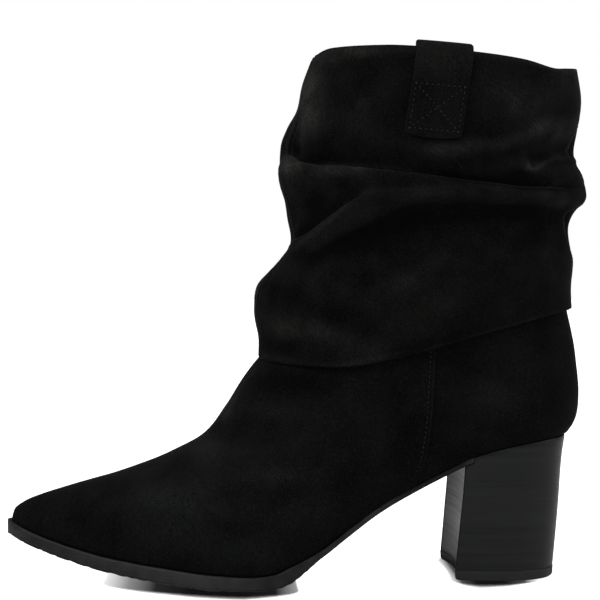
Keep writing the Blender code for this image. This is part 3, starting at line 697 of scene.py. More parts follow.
def meet(tree, spot, way):
    """Point and normal, in metres, where a ray along y meets a skin; the spot it starts from is in the
    boot's millimetres."""
    hit, normal, _, _ = tree.ray_cast(Vector(place(spot)), Vector((0.0, way, 0.0)))
    if hit is None:
        raise RuntimeError("nothing of the boot lies along y at x %.1f, z %.1f" % (spot[0], spot[2]))
    return hit, normal


def enter(name, mesh, slot, *nodes):
    """Puts a finished mesh into the scene as a piece on the boot's one body."""
    piece = bpy.data.objects.new(name, mesh)
    bpy.context.scene.collection.objects.link(piece)
    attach(piece, "root")
    if nodes:
        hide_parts(*nodes)
    return piece


def add_piece(name, points, groups, materials, node, slot, sharp=40.0):
    """Adds a finished piece in the frame: one group of faces for each named material. Edges over `sharp`
    degrees stay sharp."""
    mesh = bpy.data.meshes.new(name)
    faces = [face for group in groups for face in group]
    mesh.from_pydata([tuple(p) for p in place(points)], [], faces)
    for stuff in materials:
        mesh.materials.append(material_named(stuff))
    index = np.concatenate([np.full(len(group), i, dtype=np.int32) for i, group in enumerate(groups)])
    mesh.polygons.foreach_set("material_index", index)
    shape = bmesh.new()
    shape.from_mesh(mesh)
    bmesh.ops.recalc_face_normals(shape, faces=shape.faces)
    shape.to_mesh(mesh)
    shape.free()
    mesh.polygons.foreach_set("use_smooth", np.ones(len(mesh.polygons), dtype=bool))
    mesh.set_sharp_from_angle(angle=math.radians(sharp))
    return enter(name, mesh, slot, node)


def add_amount(piece, name, values):
    """Stores one number for each of a piece's first points, and 0 for the rest, for its material."""
    layer = piece.data.attributes.new(name, "FLOAT", "POINT")
    full = np.zeros(len(piece.data.vertices), dtype=np.float32)
    full[:len(values)] = values
    layer.data.foreach_set("value", full)


def linear(hex_colour):
    """Linear colour of an sRGB hex value."""
    parts = [int(hex_colour[i:i + 2], 16) / 255.0 for i in (1, 3, 5)]
    return tuple(p / 12.92 if p <= 0.04045 else ((p + 0.055) / 1.055) ** 2.4 for p in parts) + (1.0,)


def shaded(colour, amount):
    """A linear colour made darker or paler."""
    return tuple(c * amount for c in colour[:3]) + (1.0,)


def add_node(tree, kind, inputs=(), stops=(), **settings):
    """Adds one node with its settings and the places and colours of its ramp. Inputs go by name or in their
    order; each is a value, or it is linked from a socket or from a node's first output."""
    made = tree.nodes.new(kind)
    for name, value in settings.items():
        setattr(made, name, value)
    for i, (spot, colour) in enumerate(stops):
        marks = made.color_ramp.elements
        mark = marks[i] if i < len(marks) else marks.new(spot)
        mark.position = spot
        mark.color = colour
    for name, value in inputs.items() if isinstance(inputs, dict) else enumerate(inputs):
        if isinstance(value, bpy.types.Node):
            value = value.outputs[0]
        if isinstance(value, bpy.types.NodeSocket):
            tree.links.new(value, made.inputs[name])
        else:
            made.inputs[name].default_value = value
    return made


def new_material(name):
    """Empty node material: itself, its tree and its Object coordinates."""
    made = bpy.data.materials.new(name)
    made.use_nodes = True
    made.node_tree.nodes.clear()
    coords = add_node(made.node_tree, "ShaderNodeTexCoord").outputs["Object"]
    return made, made.node_tree, coords


def close_material(made, tone, stops, inputs, height=None, bump=(0.0, 0.0)):
    """Ends a material: its tone goes through a colour ramp and its height through a bump, of a strength and
    a depth in millimetres, into the shader with the shader's other inputs."""
    tree = made.node_tree
    ends = {"Base Color": add_node(tree, "ShaderNodeValToRGB", {"Fac": tone}, stops)}
    if height is not None:
        ends["Normal"] = add_node(tree, "ShaderNodeBump", {
            "Strength": bump[0], "Distance": bump[1] * MM, "Height": height})
    shader = add_node(tree, "ShaderNodeBsdfPrincipled", {**ends, **inputs})
    add_node(tree, "ShaderNodeOutputMaterial", {"Surface": shader})
    return made


def suede(name, dark, light):
    """Napped suede: a dull dark ground of short fibres that look paler where they are brushed over.
    Fibre tufts are about 0.6 mm and clumps of them 2 mm, coarser than the real ones so that they show;
    brush strokes are 0.8 mm wide and 5 mm long, and the hide's own unevenness is about 15 mm. A few fibres
    stand out pale as lint."""
    made, tree, coords = new_material(name)
    fibre, clump, patch = (
        add_node(tree, "ShaderNodeTexNoise", {"Vector": coords, "Scale": 1.0 / (size * MM), "Detail": 2.0})
        for size in (0.625, 2.0833, 15.1515))
    brush = add_node(tree, "ShaderNodeMapping", {
        "Vector": coords, "Rotation": (0.0, math.radians(-38.0), 0.0),
        "Scale": (0.8 * MM, 0.8 * MM, 5.0 * MM)}, vector_type="TEXTURE")
    streak = add_node(tree, "ShaderNodeTexNoise", {"Vector": brush, "Scale": 1.0})
    # The attribute read here is partly brushed nap and partly painted highlight and shade on folds, edge
    # lines and seams; the tone made from it carries both.
    nap = add_node(tree, "ShaderNodeAttribute", attribute_name="nap").outputs["Fac"]
    both = add_node(tree, "ShaderNodeMath", (clump, 0.3, fibre), operation="MULTIPLY_ADD")
    speck = add_node(tree, "ShaderNodeMath", (both, -0.65), operation="ADD")
    reach = add_node(tree, "ShaderNodeMath", (nap, 0.6, 0.18), operation="MULTIPLY_ADD")
    slow = add_node(tree, "ShaderNodeMath", (patch, 0.1, -0.005), operation="MULTIPLY_ADD")
    stroked = add_node(tree, "ShaderNodeMath", (streak, 1.8, -0.15), operation="MULTIPLY_ADD")
    brushed = add_node(tree, "ShaderNodeMath", (nap, stroked, slow), operation="MULTIPLY_ADD")
    thin = add_node(tree, "ShaderNodeMath", (fibre, 9.0), operation="POWER")
    lint = add_node(tree, "ShaderNodeMath", (thin, 1.5, brushed), operation="MULTIPLY_ADD")
    tone = add_node(tree, "ShaderNodeMath", (speck, reach, lint), operation="MULTIPLY_ADD",
                    use_clamp=True)
    return close_material(made, tone, ((0.0, dark), (1.0, light)), {
        "Roughness": 0.95, "Specular IOR Level": 0.02, "Sheen Weight": 0.045, "Sheen Roughness": 0.3,
        "Sheen Tint": linear(SHEEN_TINT)}, both, (0.35, 0.4))


def lining_leather(name, colour):
    """Smooth pigskin lining, seen only inside: fine pores about 1.2 mm apart, blotches of about 17 mm and a
    dull satin surface."""
    made, tree, coords = new_material(name)
    pores = add_node(tree, "ShaderNodeTexVoronoi", {"Vector": coords, "Scale": 1.0 / (1.2048 * MM)})
    blotch = add_node(tree, "ShaderNodeTexNoise", {
        "Vector": coords, "Scale": 1.0 / (16.6667 * MM), "Detail": 4.0})
    return close_material(made, blotch, ((0.0, shaded(colour, 0.6)), (1.0, shaded(colour, 1.5))), {
        "Roughness": 0.62, "Specular IOR Level": 0.25}, pores.outputs["Distance"], (0.3, 0.3))


def stacked_heel(name, dark, light):
    """Stacked and waxed heel: layers about 1.6 mm thick show as fine level streaks, with hairlines of 0.4 mm
    between them, under a satin wax."""
    made, tree, coords = new_material(name)
    streak, hair = (
        add_node(tree, "ShaderNodeTexNoise", {"Scale": 1.0, "Detail": detail, "Vector": add_node(
            tree, "ShaderNodeMapping", {"Vector": coords, "Scale": (length * MM, length * MM, thick * MM)},
            vector_type="TEXTURE")})
        for length, thick, detail in ((111.11, 1.6129, 4.0), (25.0, 0.41667, 2.0)))
    both = add_node(tree, "ShaderNodeMath", (hair, 0.35, streak), operation="MULTIPLY_ADD")
    rough = add_node(tree, "ShaderNodeMath", (streak, 0.25, 0.3), operation="MULTIPLY_ADD")
    return close_material(made, both, ((0.45, dark), (0.95, light)), {
        "Roughness": rough, "Specular IOR Level": 0.13}, both, (0.25, 0.2))


def sole_rubber(name, dark, light):
    """Moulded rubber with a ground edge: level grinding lines about 0.7 mm apart and 20 mm long, dull scuffs
    of about 8 mm, grit of 0.7 mm, drawn as coarse as it needs to show, and a satin surface."""
    made, tree, coords = new_material(name)
    level = add_node(tree, "ShaderNodeMapping", {
        "Vector": coords, "Scale": (20.0 * MM, 20.0 * MM, 0.66667 * MM)}, vector_type="TEXTURE")
    ground = add_node(tree, "ShaderNodeTexNoise", {"Vector": level, "Scale": 1.0, "Detail": 3.0})
    scuff, grit = (
        add_node(tree, "ShaderNodeTexNoise", {
            "Vector": coords, "Scale": 1.0 / (size * MM), "Detail": detail})
        for size, detail in ((8.3333, 5.0), (0.66667, 2.0)))
    # The attribute read here pales the edge, partly for scuffs and partly as a painted highlight.
    wear = add_node(tree, "ShaderNodeAttribute", attribute_name="wear").outputs["Fac"]
    both = add_node(tree, "ShaderNodeMath", (ground, 0.5, scuff), operation="MULTIPLY_ADD")
    gritty = add_node(tree, "ShaderNodeMath", (grit, -0.5, both), operation="MULTIPLY_ADD")
    worn_and_highlit = add_node(tree, "ShaderNodeMath", (wear, 0.4, gritty), operation="MULTIPLY_ADD")
    height = add_node(tree, "ShaderNodeMath", (grit, 0.5, ground), operation="MULTIPLY_ADD")
    rough = add_node(tree, "ShaderNodeMath", (scuff, 0.3, 0.38), operation="MULTIPLY_ADD")
    return close_material(made, worn_and_highlit, ((0.25, dark), (0.95, light)), {
        "Roughness": rough, "Specular IOR Level": 0.13}, height, (0.3, 0.2))


def sewing_thread(name, colour):
    """Bonded polyester thread: a tight twist about 0.4 mm apart with a soft shine. A wave texture repeats
    every 0.314 divided by its scale."""
    made, tree, coords = new_material(name)
    twist = add_node(tree, "ShaderNodeTexWave", {
        "Vector": coords, "Scale": 0.314 / (0.3925 * MM), "Distortion": 1.0}).outputs["Fac"]
    # The grooves of the twist are painted darker, as painted shade.
    return close_material(made, twist, ((0.0, shaded(colour, 0.6)), (1.0, tuple(colour))), {
        "Roughness": 0.6, "Specular IOR Level": 0.15})


# The makers of the boot's materials, and the colours of the panel that they take.
MATERIALS = {
    "vamp_suede": (suede, "vamp_dark", "vamp_light"),
    "counter_suede": (suede, "counter_dark", "counter_light"),
    "shaft_suede": (suede, "counter_dark", "counter_light"),
    "strap_suede": (suede, "counter_dark", "counter_light"),
    "pigskin_lining": (lining_leather, "lining"),
    "sock_leather": (lining_leather, "sock"),
    "waxed_heel_leather": (stacked_heel, "stack_dark", "stack_light"),
    "ground_rubber": (sole_rubber, "rubber_dark", "rubber_light"),
    "hard_lift_rubber": (sole_rubber, "lift_dark", "lift_light"),
    "polyester_thread": (sewing_thread, "thread"),
}


def material_named(name):
    """The material of that name, made once."""
    maker, *colours = MATERIALS[name]
    panel = bpy.context.scene.boot_colours
    return bpy.data.materials.get(name) or maker(name, *(getattr(panel, colour) for colour in colours))


def stitch_rows_tree():
    """Geometry Nodes: one rounded stitch at each step along every path of the input curve."""
    tree = bpy.data.node_groups.new("stitch_rows", "GeometryNodeTree")
    face = tree.interface
    face.new_socket("Geometry", in_out="INPUT", socket_type="NodeSocketGeometry")
    for name, size in (("Pitch", 2.2), ("Length", 1.3), ("Thickness", 0.45)):
        face.new_socket(name, in_out="INPUT", socket_type="NodeSocketFloat").default_value = size * MM
    face.new_socket("Thread", in_out="INPUT", socket_type="NodeSocketMaterial")
    face.new_socket("Geometry", in_out="OUTPUT", socket_type="NodeSocketGeometry")
    given = add_node(tree, "NodeGroupInput").outputs
    steps = add_node(tree, "GeometryNodeCurveToPoints", {
        "Curve": given["Geometry"], "Length": given["Pitch"]}, mode="LENGTH").outputs
    bead = add_node(tree, "GeometryNodeMeshUVSphere", {"Segments": 8, "Rings": 6, "Radius": 0.5})
    # The float limits of Random Value are its third and fourth inputs, the seed its ninth.
    pull = add_node(tree, "FunctionNodeRandomValue", {2: 0.7, 3: 1.1, 8: STITCH_SEED}, data_type="FLOAT")
    drawn = add_node(tree, "ShaderNodeMath", (given["Length"], pull.outputs[1]), operation="MULTIPLY")
    size = add_node(tree, "ShaderNodeCombineXYZ", {
        "X": given["Thickness"], "Y": given["Thickness"], "Z": drawn})
    sewn = add_node(tree, "GeometryNodeInstanceOnPoints", {
        "Points": steps["Points"], "Instance": bead, "Rotation": steps["Rotation"], "Scale": size})
    real = add_node(tree, "GeometryNodeRealizeInstances", {"Geometry": sewn})
    smooth = add_node(tree, "GeometryNodeSetShadeSmooth", {"Geometry": real})
    done = add_node(tree, "GeometryNodeSetMaterial", {"Geometry": smooth, "Material": given["Thread"]})
    add_node(tree, "NodeGroupOutput", {"Geometry": done})
    return tree


def sew(name, paths, slot):
    """Sews rows of stitches along paths of points in metres, as one plain mesh piece."""
    scene = bpy.context.scene
    drawn = bpy.data.curves.new(name + "_path", "CURVE")
    drawn.dimensions = "3D"
    for path in paths:
        line = drawn.splines.new("POLY")
        line.points.add(len(path) - 1)
        for point, spot in zip(line.points, path):
            point.co = (*spot, 1.0)
    holder = bpy.data.objects.new(name + "_path", drawn)
    scene.collection.objects.link(holder)
    tree = bpy.data.node_groups.get("stitch_rows") or stitch_rows_tree()
    rows = holder.modifiers.new("stitches", "NODES")
    rows.node_group = tree
    sizes = scene.boot_sizes
    values = {"Pitch": sizes.stitch_pitch, "Length": sizes.stitch_length, "Thickness": sizes.thread_thick,
              "Thread": material_named("polyester_thread")}
    for item in tree.interface.items_tree:
        if item.in_out == "INPUT" and item.name in values:
            rows[item.identifier] = values[item.name]
    graph = bpy.context.evaluated_depsgraph_get()
    mesh = bpy.data.meshes.new_from_object(holder.evaluated_get(graph))
    bpy.data.objects.remove(holder, do_unlink=True)
    mesh.name = name
    if not mesh.polygons:
        raise RuntimeError(name + " has no stitches")
    return enter(name, mesh, slot)


def size_property(name, size, least, description):
    """Property for a size, which is given in millimetres and held in metres."""
    return bpy.props.FloatProperty(name=name, description=description, default=size * MM, min=least * MM,
                                   precision=5, subtype="DISTANCE", unit="LENGTH")


def colour_property(name, hex_colour, description):
    """Property for a colour, which is given as an sRGB hex value."""
    return bpy.props.FloatVectorProperty(name=name, description=description, default=linear(hex_colour),
                                         size=4, min=0.0, max=1.0, subtype="COLOR")


class BootSizes(bpy.types.PropertyGroup):
    """Sizes of the boot that a user may change."""
    foot_wall: size_property("Foot wall", 1.8, 0.8, "Thickness of the foot's suede and lining")
    shaft_wall: size_property("Shaft wall", 1.4, 0.8, "Thickness of the shaft's suede and lining")
    vamp_lap: size_property("Vamp lap", 0.7, 0.2, "Height of the vamp's edge over the counter")
    seam_inset: size_property("Seam inset", 2.3, 1.0, "Distance of the stitches from the vamp's edge")
    stitch_pitch: size_property("Stitch pitch", 2.2, 1.0, "Distance from stitch to stitch")
    stitch_length: size_property("Stitch length", 1.3, 0.5, "Seen length of one stitch")
    thread_thick: size_property("Thread", 0.45, 0.2, "Thickness of the thread")
    strap_width: size_property("Strap width", 24.4, 10.0, "Width of the pull loop")
    strap_thick: size_property("Strap thickness", 1.5, 0.8, "Thickness of the pull loop")


class BootColours(bpy.types.PropertyGroup):
    """Colours of the boot that a user may change."""
    vamp_dark: colour_property("Vamp ground", "#040404", "Suede of the vamp where its nap is dark")
    vamp_light: colour_property("Vamp brushed", "#2f3030", "Suede of the vamp where its nap is brushed")
    counter_dark: colour_property("Counter ground", "#040404", "Suede of counter, shaft and loop, dark")
    counter_light: colour_property("Counter brushed", "#2e2e2d", "Suede of counter, shaft and loop, brushed")
    stack_dark: colour_property("Stack dark", "#0b0c0d", "Darkest layers of the heel")
    stack_light: colour_property("Stack light", "#171819", "Palest layers of the heel")
    rubber_dark: colour_property("Rubber dark", "#080808", "Outsole edge, dark")
    rubber_light: colour_property("Rubber light", "#222322", "Outsole edge, scuffed")
    lift_dark: colour_property("Lift dark", "#191919", "Lift under the heel, dark")
    lift_light: colour_property("Lift light", "#212121", "Lift under the heel, scuffed")
    lining: colour_property("Lining", "#1d1b1a", "Leather lining inside")
    sock: colour_property("Sock", "#26221f", "Leather of the insole")
    thread: colour_property("Thread", "#111719", "Stitches")


def in_mm(sizes):
    """The panel's sizes in millimetres."""
    return SimpleNamespace(**{name: getattr(sizes, name) / MM for name in BootSizes.__annotations__})


def lay_floor(scene):
    """The pale paper under the boot. It is overexposed in the photograph: the camera sees it white except
    close under the boot."""
    mesh = bpy.data.meshes.new("studio_floor")
    corners = ((-FLOOR_HALF, -FLOOR_HALF), (FLOOR_HALF, -FLOOR_HALF), (FLOOR_HALF, FLOOR_HALF),
               (-FLOOR_HALF, FLOOR_HALF))
    mesh.from_pydata([(x, y, 0.0) for x, y in corners], [], [(0, 1, 2, 3)])
    floor = bpy.data.objects.new("studio_floor", mesh)
    floor.location.z = -FLOOR_DROP
    scene.collection.objects.link(floor)
    paper, tree, coords = new_material("studio_paper")
    along = add_node(tree, "ShaderNodeSeparateXYZ", {"Vector": coords}).outputs["X"]
    part = add_node(tree, "ShaderNodeMapRange", {
        "Value": along, "From Min": FLOOR_SPAN[0] * MM, "From Max": FLOOR_SPAN[1] * MM})
    stops = [(ramp(x, *FLOOR_SPAN), (far * MM, far * MM, far * MM, pale)) for x, far, pale in FLOOR_SHADE]
    reach = add_node(tree, "ShaderNodeValToRGB", {"Fac": part}, stops).outputs
    # Painted contact shadow: ambient occlusion, over a reach set along x, darkens the glow that camera rays
    # see; other rays see plain paper.
    close = add_node(tree, "ShaderNodeAmbientOcclusion", {"Distance": reach["Color"]}, samples=16)
    shade = add_node(tree, "ShaderNodeMapRange", {
        "Value": close.outputs["AO"], "From Min": 0.75, "From Max": 0.97, "To Min": reach["Alpha"],
        "To Max": 1.6}, interpolation_type="SMOOTHSTEP")
    glow_and_painted_shadow = add_node(tree, "ShaderNodeEmission", {"Strength": shade})
    sheet = add_node(tree, "ShaderNodeBsdfDiffuse", {"Color": linear(PAPER)})
    seen = add_node(tree, "ShaderNodeLightPath").outputs["Is Camera Ray"]
    both = add_node(tree, "ShaderNodeMixShader", (seen, sheet, glow_and_painted_shadow))
    add_node(tree, "ShaderNodeOutputMaterial", {"Surface": both})
    mesh.materials.append(paper)


def light_studio(scene):
    """Soft light: a white world, dimmer than the camera sees it, and three large soft boxes."""
    world = bpy.data.worlds.new("studio_world")
    world.use_nodes = True
    tree = world.node_tree
    seen = add_node(tree, "ShaderNodeLightPath").outputs["Is Camera Ray"]
    level = add_node(tree, "ShaderNodeMath", (seen, 1.0 - WORLD_LIGHT, WORLD_LIGHT),
                     operation="MULTIPLY_ADD")
    tree.links.new(level.outputs[0], tree.nodes["Background"].inputs["Strength"])
    tree.nodes["Background"].inputs["Color"].default_value = (1.0, 1.0, 1.0, 1.0)
    scene.world = world
    for name, spot, aim, size, energy in SOFT_BOXES:
        data = bpy.data.lights.new(name, "AREA")
        data.size = size
        data.energy = energy
        lamp = bpy.data.objects.new(name, data)
        lamp.location = spot
        lamp.rotation_euler = (Vector(aim) - Vector(spot)).to_track_quat("-Z", "Y").to_euler()
        scene.collection.objects.link(lamp)


class BOOT_OT_stage(bpy.types.Operator):
    """Adds the pale floor, the soft studio light and the camera at the photograph's angle"""
    bl_idname = "boot.stage"
    bl_label = "Studio stage"

    def execute(self, context):
        scene = context.scene
        scene.view_settings.view_transform = "Standard"
        lay_floor(scene)
        light_studio(scene)
        lens = bpy.data.cameras.new("photo_camera")
        lens.sensor_width = 36.0
        lens.lens = VIEW_LENS
        lens.clip_start = 0.01
        camera = bpy.data.objects.new("photo_camera", lens)
        side, rise = (math.radians(angle) for angle in VIEW_ANGLES)
        away = Vector((math.sin(side) * math.cos(rise), -math.cos(side) * math.cos(rise), math.sin(rise)))
        camera.location = Vector(place(VIEW_AIM)) + away * VIEW_DISTANCE
        camera.rotation_euler = (-away).to_track_quat("-Z", "Y").to_euler()
        scene.collection.objects.link(camera)
        scene.camera = camera
        return {"FINISHED"}


class BOOT_OT_foot(bpy.types.Operator):
    """Makes the suede foot: vamp lapped over the counter, with a lining inside"""
    bl_idname = "boot.foot"
    bl_label = "Suede foot"

    def execute(self, context):
        sizes = in_mm(context.scene.boot_sizes)
        outer, inner, lag = foot_faces(sizes)
        points, (outside, inside, rims) = shell(outer, inner)
        ahead = lag.ravel() < 0.0
        vamp = [f for f in outside if ahead[f[0]] or ahead[f[1]]]
        counter = [f for f in outside if not (ahead[f[0]] or ahead[f[1]])]
        piece = add_piece("suede_foot", points, (vamp + rims, counter, inside),
                          ("vamp_suede", "counter_suede", "pigskin_lining"), "upper", "black_suede")
        # The vamp's cut edge is a little pale, less so towards the sole.
        raw_edge = np.where(lag < 0.0, 0.09 * bell(lag + 0.3, 0.5), 0.0) * ramp(outer[..., 2], 50.0, 80.0)
        add_amount(piece, "nap", (nap_and_light_amount(outer, FOOT_NAP_AND_LIGHT, FOOT_EDGE_RUBS_AND_LIGHT, FOOT_DEPTH) + raw_edge).ravel())
        return {"FINISHED"}


class BOOT_OT_shaft(bpy.types.Operator):
    """Makes the slouched shaft with its rolls, pockets and seams"""
    bl_idname = "boot.shaft"
    bl_label = "Slouched shaft"

    def execute(self, context):
        sizes = in_mm(context.scene.boot_sizes)
        # The hem hangs on a coarser copy of the foot.
        face = foot_faces(sizes, 60)[0]
        points, groups = shell(face, face * 0.999, 1)
        foot_tree = BVHTree.FromPolygons([tuple(p) for p in points], groups[0])
        outer, inner, seam_rubs_and_shade = shaft_faces(foot_tree, sizes)
        points, (outside, inside, rims) = shell(outer, inner, 5)
        piece = add_piece("slouched_shaft", points, (outside + rims, inside),
                          ("shaft_suede", "pigskin_lining"), "shaft", "black_suede")
        add_amount(piece, "nap", (nap_and_light_amount(outer, SHAFT_NAP_AND_LIGHT, SHAFT_EDGE_RUBS_AND_LIGHT, 1.0) + seam_rubs_and_shade).ravel())
        return {"FINISHED"}


class BOOT_OT_outsole(bpy.types.Operator):
    """Makes the outsole with its ground edge, tread line and ribbed underside"""
    bl_idname = "boot.outsole"
    bl_label = "Outsole"

    def execute(self, context):
        toe = np.sin(np.linspace(0.0, np.pi / 2.0, 60))[1:]
        x = np.concatenate((np.linspace(SOLE_TAIL_X, SOLE_TOE_X, 110),
                            SOLE_TOE_X + (SOLE_TIP_X - SOLE_TOE_X) * toe))
        tip = np.maximum(round_end((x - SOLE_TIP_X) / (at_level(0.0)["nose"] + 1.0)), 0.02)
        margin = SOLE_MARGIN * curve(x, (10.0, 45.0), (1.0, 0.0), flat=True) * np.maximum(tip, 0.3)
        outer = sole("outer", x) * tip + margin
        inner = sole("inner", x) * tip + margin
        middle = sole("middle", x)
        top = sole("top", x)
        low = top - sole("thick", x)
        low = np.where(low < 0.35, 0.0, low)
        tread = curve(x, (4.0, 14.0), (1.0, 0.0), flat=True)
        # Small nicks up to 0.6 mm deep along the lower edge.
        chance = np.random.default_rng(NICK_SEED)
        nick = np.where(chance.random(len(x)) < NICK_SHARE, chance.uniform(0.2, 0.6, len(x)), 0.0) * tread
        rings = []
        for inset, part in SOLE_EDGE:
            deep = inset * np.where((TREAD_LINE[0] < part) & (part < TREAD_LINE[1]), tread, 1.0)
            # Shallower where the sole is narrow or thinner than 5 mm.
            deep = np.minimum(deep, 0.6 * np.minimum(outer, inner))
            deep = deep * np.minimum(1.0, (top - low) / 5.0)
            z = low + (top - low) * part + nick * max(0.0, 1.0 - part / 0.1)
            rings.append(side_ring(x, middle - outer + deep, middle + inner - deep, z))

        def ribs(line, part):
            edge = ramp(min(part, 1.0 - part), 0.06, 0.12) * tread * ramp(line[:, 0], -118.0, -108.0)
            wave = np.clip(np.sin(line[:, 0] * 2.0 * np.pi / RIB_PITCH) * 2.0, -1.0, 1.0)
            line = line.copy()
            line[:, 2] += RIB_DEPTH / 2.0 * (1.0 - wave) * edge
            return line

        points, faces = slab(rings, 16, ribs)
        piece = add_piece("rubber_outsole", points, (faces,), ("ground_rubber",), "outsole", "sole_rubber",
                          35.0)
        # Paler at the ball, the waist and the tail, partly scuffs and partly a painted highlight; black
        # under the arch and dark at the toe.
        x = points[:, 0]
        worn_and_highlit = bell(x + 46.0, 20.0) + 0.4 * bell(x - 26.0, 14.0) + 0.9 * ramp(x, 71.0, 73.0)
        add_amount(piece, "wear", worn_and_highlit - ramp(x, 38.0, 50.0) - 0.3 * ramp(x, -80.0, -110.0))
        return {"FINISHED"}


class BOOT_OT_heel(bpy.types.Operator):
    """Makes the stacked heel and the lift under it"""
    bl_idname = "boot.heel"
    bl_label = "Heel and lift"

    def execute(self, context):
        low = LIFT_HEIGHT + 0.5 * PIECE_GAP

        def seat(x, part):
            tail = ramp(x, SOLE_TAIL_X + TAIL_STEP[1], SOLE_TAIL_X + TAIL_STEP[0])
            under = sole("top", x) - sole("thick", x) * (1.0 - (1.0 - tail) * part)
            return low + (under - 0.5 * PIECE_GAP - low) * part

        # Both ends of the stack are eased in a little.
        parts = (0.0, *np.linspace(0.012, 0.985, 34), 1.0)
        eases = (-0.12, *np.zeros(34), -0.2)
        points, faces = slab([heel_ring(part, ease, seat) for part, ease in zip(parts, eases)])
        add_piece("stacked_heel", points, (faces,), ("waxed_heel_leather",), "heel", "heel_stack", 32.0)
        rings = [heel_ring(0.0, grow, lambda x, _: np.full(len(x), z)) for z, grow in LIFT_EDGE]
        points, faces = slab(rings)
        add_piece("heel_lift", points, (faces,), ("hard_lift_rubber",), "top_lift", "lift_rubber", 32.0)
        return {"FINISHED"}


class BOOT_OT_insole(bpy.types.Operator):
    """Makes the insole inside the foot"""
    bl_idname = "boot.insole"
    bl_label = "Insole"

    def execute(self, context):
        sizes = in_mm(context.scene.boot_sizes)
        inset = sizes.foot_wall + 2.0 * PIECE_GAP
        edge = at_level(0.0)
        front = edge["front_x"] + inset
        back = edge["back_x"] - inset
        x = (front + back) / 2.0 + (back - front) / 2.0 * np.cos(np.linspace(0.0, np.pi, 120))
        ends = round_end((x - front) / edge["nose"]) * round_end((back - x) / edge["seat_round"])
        ends = np.maximum(ends, 0.02)
        outer, inner = (np.maximum(sole(side, x) * ends - inset * np.minimum(1.0, ends * 3.0), 0.3)
                        for side in ("outer", "inner"))
        middle, top = sole("middle", x), sole("top", x) + PIECE_GAP
        rings = [side_ring(x, middle - outer * size, middle + inner * size, top + rise)
                 for size, rise in INSOLE_EDGE]
        points, faces = slab(rings, 12)
        add_piece("leather_insole", points, (faces,), ("sock_leather",), "insole", "insole_leather")
        return {"FINISHED"}


def strap_middle(z):
    """Middle of the strap, along the boot, at the height z."""
    return np.interp(z, (STRAP_LOW, STRAP_RIM), STRAP_X)


def strap_rows(tree, sizes):
    """Inner face and outward direction of the strap, row by row from its lower end outside, over the
    collar and down the inside."""
    across = np.linspace(-0.5, 0.5, 31)
    outside = np.linspace(STRAP_LOW, STRAP_RIM - 2.0, STRAP_ROWS)
    inside = np.linspace(STRAP_RIM - 2.0, STRAP_RIM - STRAP_INSIDE, 14)
    rows = []
    for heights, begin_y, way in ((outside, -FAR_OUT, 1.0), (inside, 0.0, -1.0)):
        for z in heights:
            row = []
            for a in across:
                x = strap_middle(z) + a * sizes.strap_width
                height = z - STRAP_SLANT * a * sizes.strap_width
                if way > 0.0:
                    height -= STRAP_BOW * (1.0 - (2.0 * a) ** 2) * ramp(z, STRAP_LOW + 12.0, STRAP_LOW)
                hit, _ = meet(tree, (x, begin_y, height), way)
                row.append((x, hit.y / MM + ZERO[1] - way * 0.4, height, 0.0, -way, 0.0))
            rows.append(row)
    rows = np.array(rows)
    last, first = rows[STRAP_ROWS - 1], rows[STRAP_ROWS]
    middle = (last[:, 1] + first[:, 1]) / 2.0
    reach = (first[:, 1] - last[:, 1]) / 2.0
    over = []
    for angle in np.radians(np.linspace(0.0, 180.0, 15)[1:-1]):
        row = last.copy()
        row[:, 1] = middle - reach * np.cos(angle)
        row[:, 2] = last[:, 2] + (LOOP_RISE - sizes.strap_thick) * np.sin(angle)
        row[:, 4] = -np.cos(angle)
        row[:, 5] = np.sin(angle)
        over.append(row)
    return np.concatenate((rows[:STRAP_ROWS], np.array(over), rows[STRAP_ROWS:])), across


def box_spots(step):
    """Paths of the crossed box on the strap, as (x, z) in millimetres."""
    a, b, c, d = (np.array((strap_middle(z) + side * BOX_HALF, z - STRAP_SLANT * side * BOX_HALF))
                  for side, z in ((-1.0, BOX_LOW), (1.0, BOX_LOW), (1.0, BOX_HIGH), (-1.0, BOX_HIGH)))
    paths = []
    for p, q in ((a, b), (b, c), (c, d), (d, a), (a, c), (b, d)):
        count = int(np.linalg.norm(q - p) / step) + 1
        paths.append([tuple(p + (q - p) * t) for t in np.linspace(0.0, 1.0, count)])
    return paths


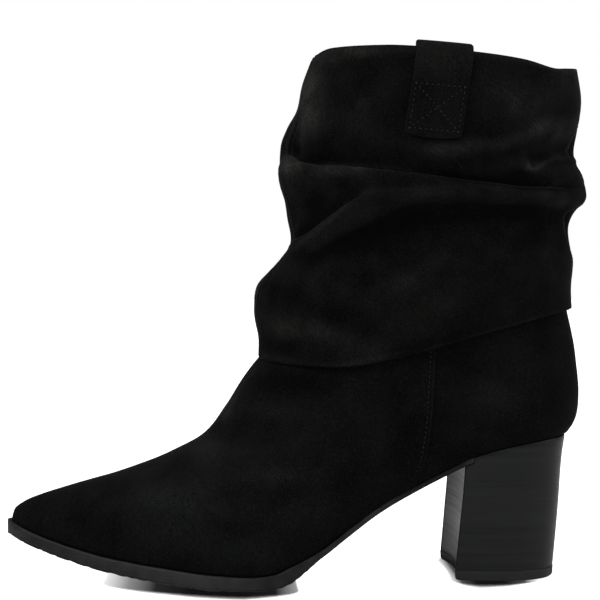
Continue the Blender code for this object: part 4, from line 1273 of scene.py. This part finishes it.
class BOOT_OT_pull_loop(bpy.types.Operator):
    """Makes the pull loop over the collar with its crossed box of stitches"""
    bl_idname = "boot.pull_loop"
    bl_label = "Pull loop"

    def execute(self, context):
        sizes = in_mm(context.scene.boot_sizes)
        rows, across = strap_rows(skin_of("slouched_shaft"), sizes)
        base, out = rows[..., :3], rows[..., 3:]
        thick = sizes.strap_thick * np.minimum(1.0, 0.55 + 0.45 * round_end((0.5 - np.abs(across)) / 0.05))
        face = base + out * thick[None, :, None]
        # The thread presses the box into the part outside the collar.
        near = STRAP_ROWS + 4
        pressed = np.zeros(face.shape[:2])
        for path in box_spots(1.2):
            for x, z in path:
                far = np.hypot(face[:near, :, 0] - x, face[:near, :, 2] - z)
                pressed[:near] = np.maximum(pressed[:near], bell(far, 0.55))
        face = face - out * (0.28 * pressed)[..., None]
        rings = [np.concatenate((b, f[::-1])) for b, f in zip(base, face)]
        points, faces = slab(rings, 1)
        piece = add_piece("suede_pull_loop", points, (faces,), ("strap_suede",), "pull_loop", "black_strap",
                          50.0)
        # Paler towards its top, and painted light inside the collar, where the strap lies in shade.
        top = ramp(points[:, 2], 216.0, 230.0)
        painted_fill_inside = ramp(np.arange(len(points)) / len(points), 0.72, 0.82)
        add_amount(piece, "nap", 0.03 + 0.12 * top + 0.15 * painted_fill_inside)
        tree = skin_of("suede_pull_loop")
        paths = []
        for path in box_spots(0.6):
            hits = [meet(tree, (x, -FAR_OUT, z), 1.0) for x, z in path]
            paths.append([hit + normal * 0.12 * MM for hit, normal in hits])
        sew("loop_stitches", paths, "black_strap")
        return {"FINISHED"}


class BOOT_OT_seam(bpy.types.Operator):
    """Sews the rows of stitches along the vamp's lapped edge on both sides"""
    bl_idname = "boot.seam"
    bl_label = "Seam stitches"

    def execute(self, context):
        sizes = in_mm(context.scene.boot_sizes)
        tree = skin_of("suede_foot")
        paths = []
        for side in (-1.0, 1.0):
            path = []
            for level in np.linspace(0.03, 0.98, 90):
                x = at_level(level)["seam_x"] - sizes.seam_inset
                points, _ = foot_level(level)
                line = points[:len(points) // 2 + 1]
                z = float(np.interp(-x, -line[:, 0], line[:, 2]))
                hit, normal = meet(tree, (x, side * FAR_OUT, z), -side)
                # Towards the sole the stitches sink into the nap.
                path.append(hit + normal * (0.1 - 0.3 * max(0.0, 1.0 - level / 0.4)) * MM)
            paths.append(path)
        sew("seam_stitches", paths, "black_suede")
        return {"FINISHED"}


class BOOT_PT_panel(bpy.types.Panel):
    """Sidebar panel with the boot's sizes, colours and pieces"""
    bl_idname = "BOOT_PT_panel"
    bl_label = "Slouch Ankle Boot"
    bl_space_type = "VIEW_3D"
    bl_region_type = "UI"
    bl_category = "Boot"

    def draw(self, context):
        for group in (context.scene.boot_sizes, context.scene.boot_colours):
            box = self.layout.box()
            for name in type(group).__annotations__:
                box.prop(group, name)
        for operator in OPERATORS:
            self.layout.operator(operator.bl_idname)


OPERATORS = (BOOT_OT_stage, BOOT_OT_foot, BOOT_OT_shaft, BOOT_OT_outsole, BOOT_OT_heel, BOOT_OT_insole,
             BOOT_OT_pull_loop, BOOT_OT_seam)
CLASSES = (BootSizes, BootColours, *OPERATORS, BOOT_PT_panel)


def register():
    for made in CLASSES:
        bpy.utils.register_class(made)
    bpy.types.Scene.boot_sizes = bpy.props.PointerProperty(type=BootSizes)
    bpy.types.Scene.boot_colours = bpy.props.PointerProperty(type=BootColours)


def unregister():
    del bpy.types.Scene.boot_colours
    del bpy.types.Scene.boot_sizes
    for made in reversed(CLASSES):
        bpy.utils.unregister_class(made)


def main():
    register()
    bpy.ops.boot.stage()
    bpy.ops.boot.foot()
    bpy.ops.boot.shaft()
    bpy.ops.boot.outsole()
    bpy.ops.boot.heel()
    bpy.ops.boot.insole()
    bpy.ops.boot.pull_loop()
    bpy.ops.boot.seam()


if __name__ == "__main__":
    main()
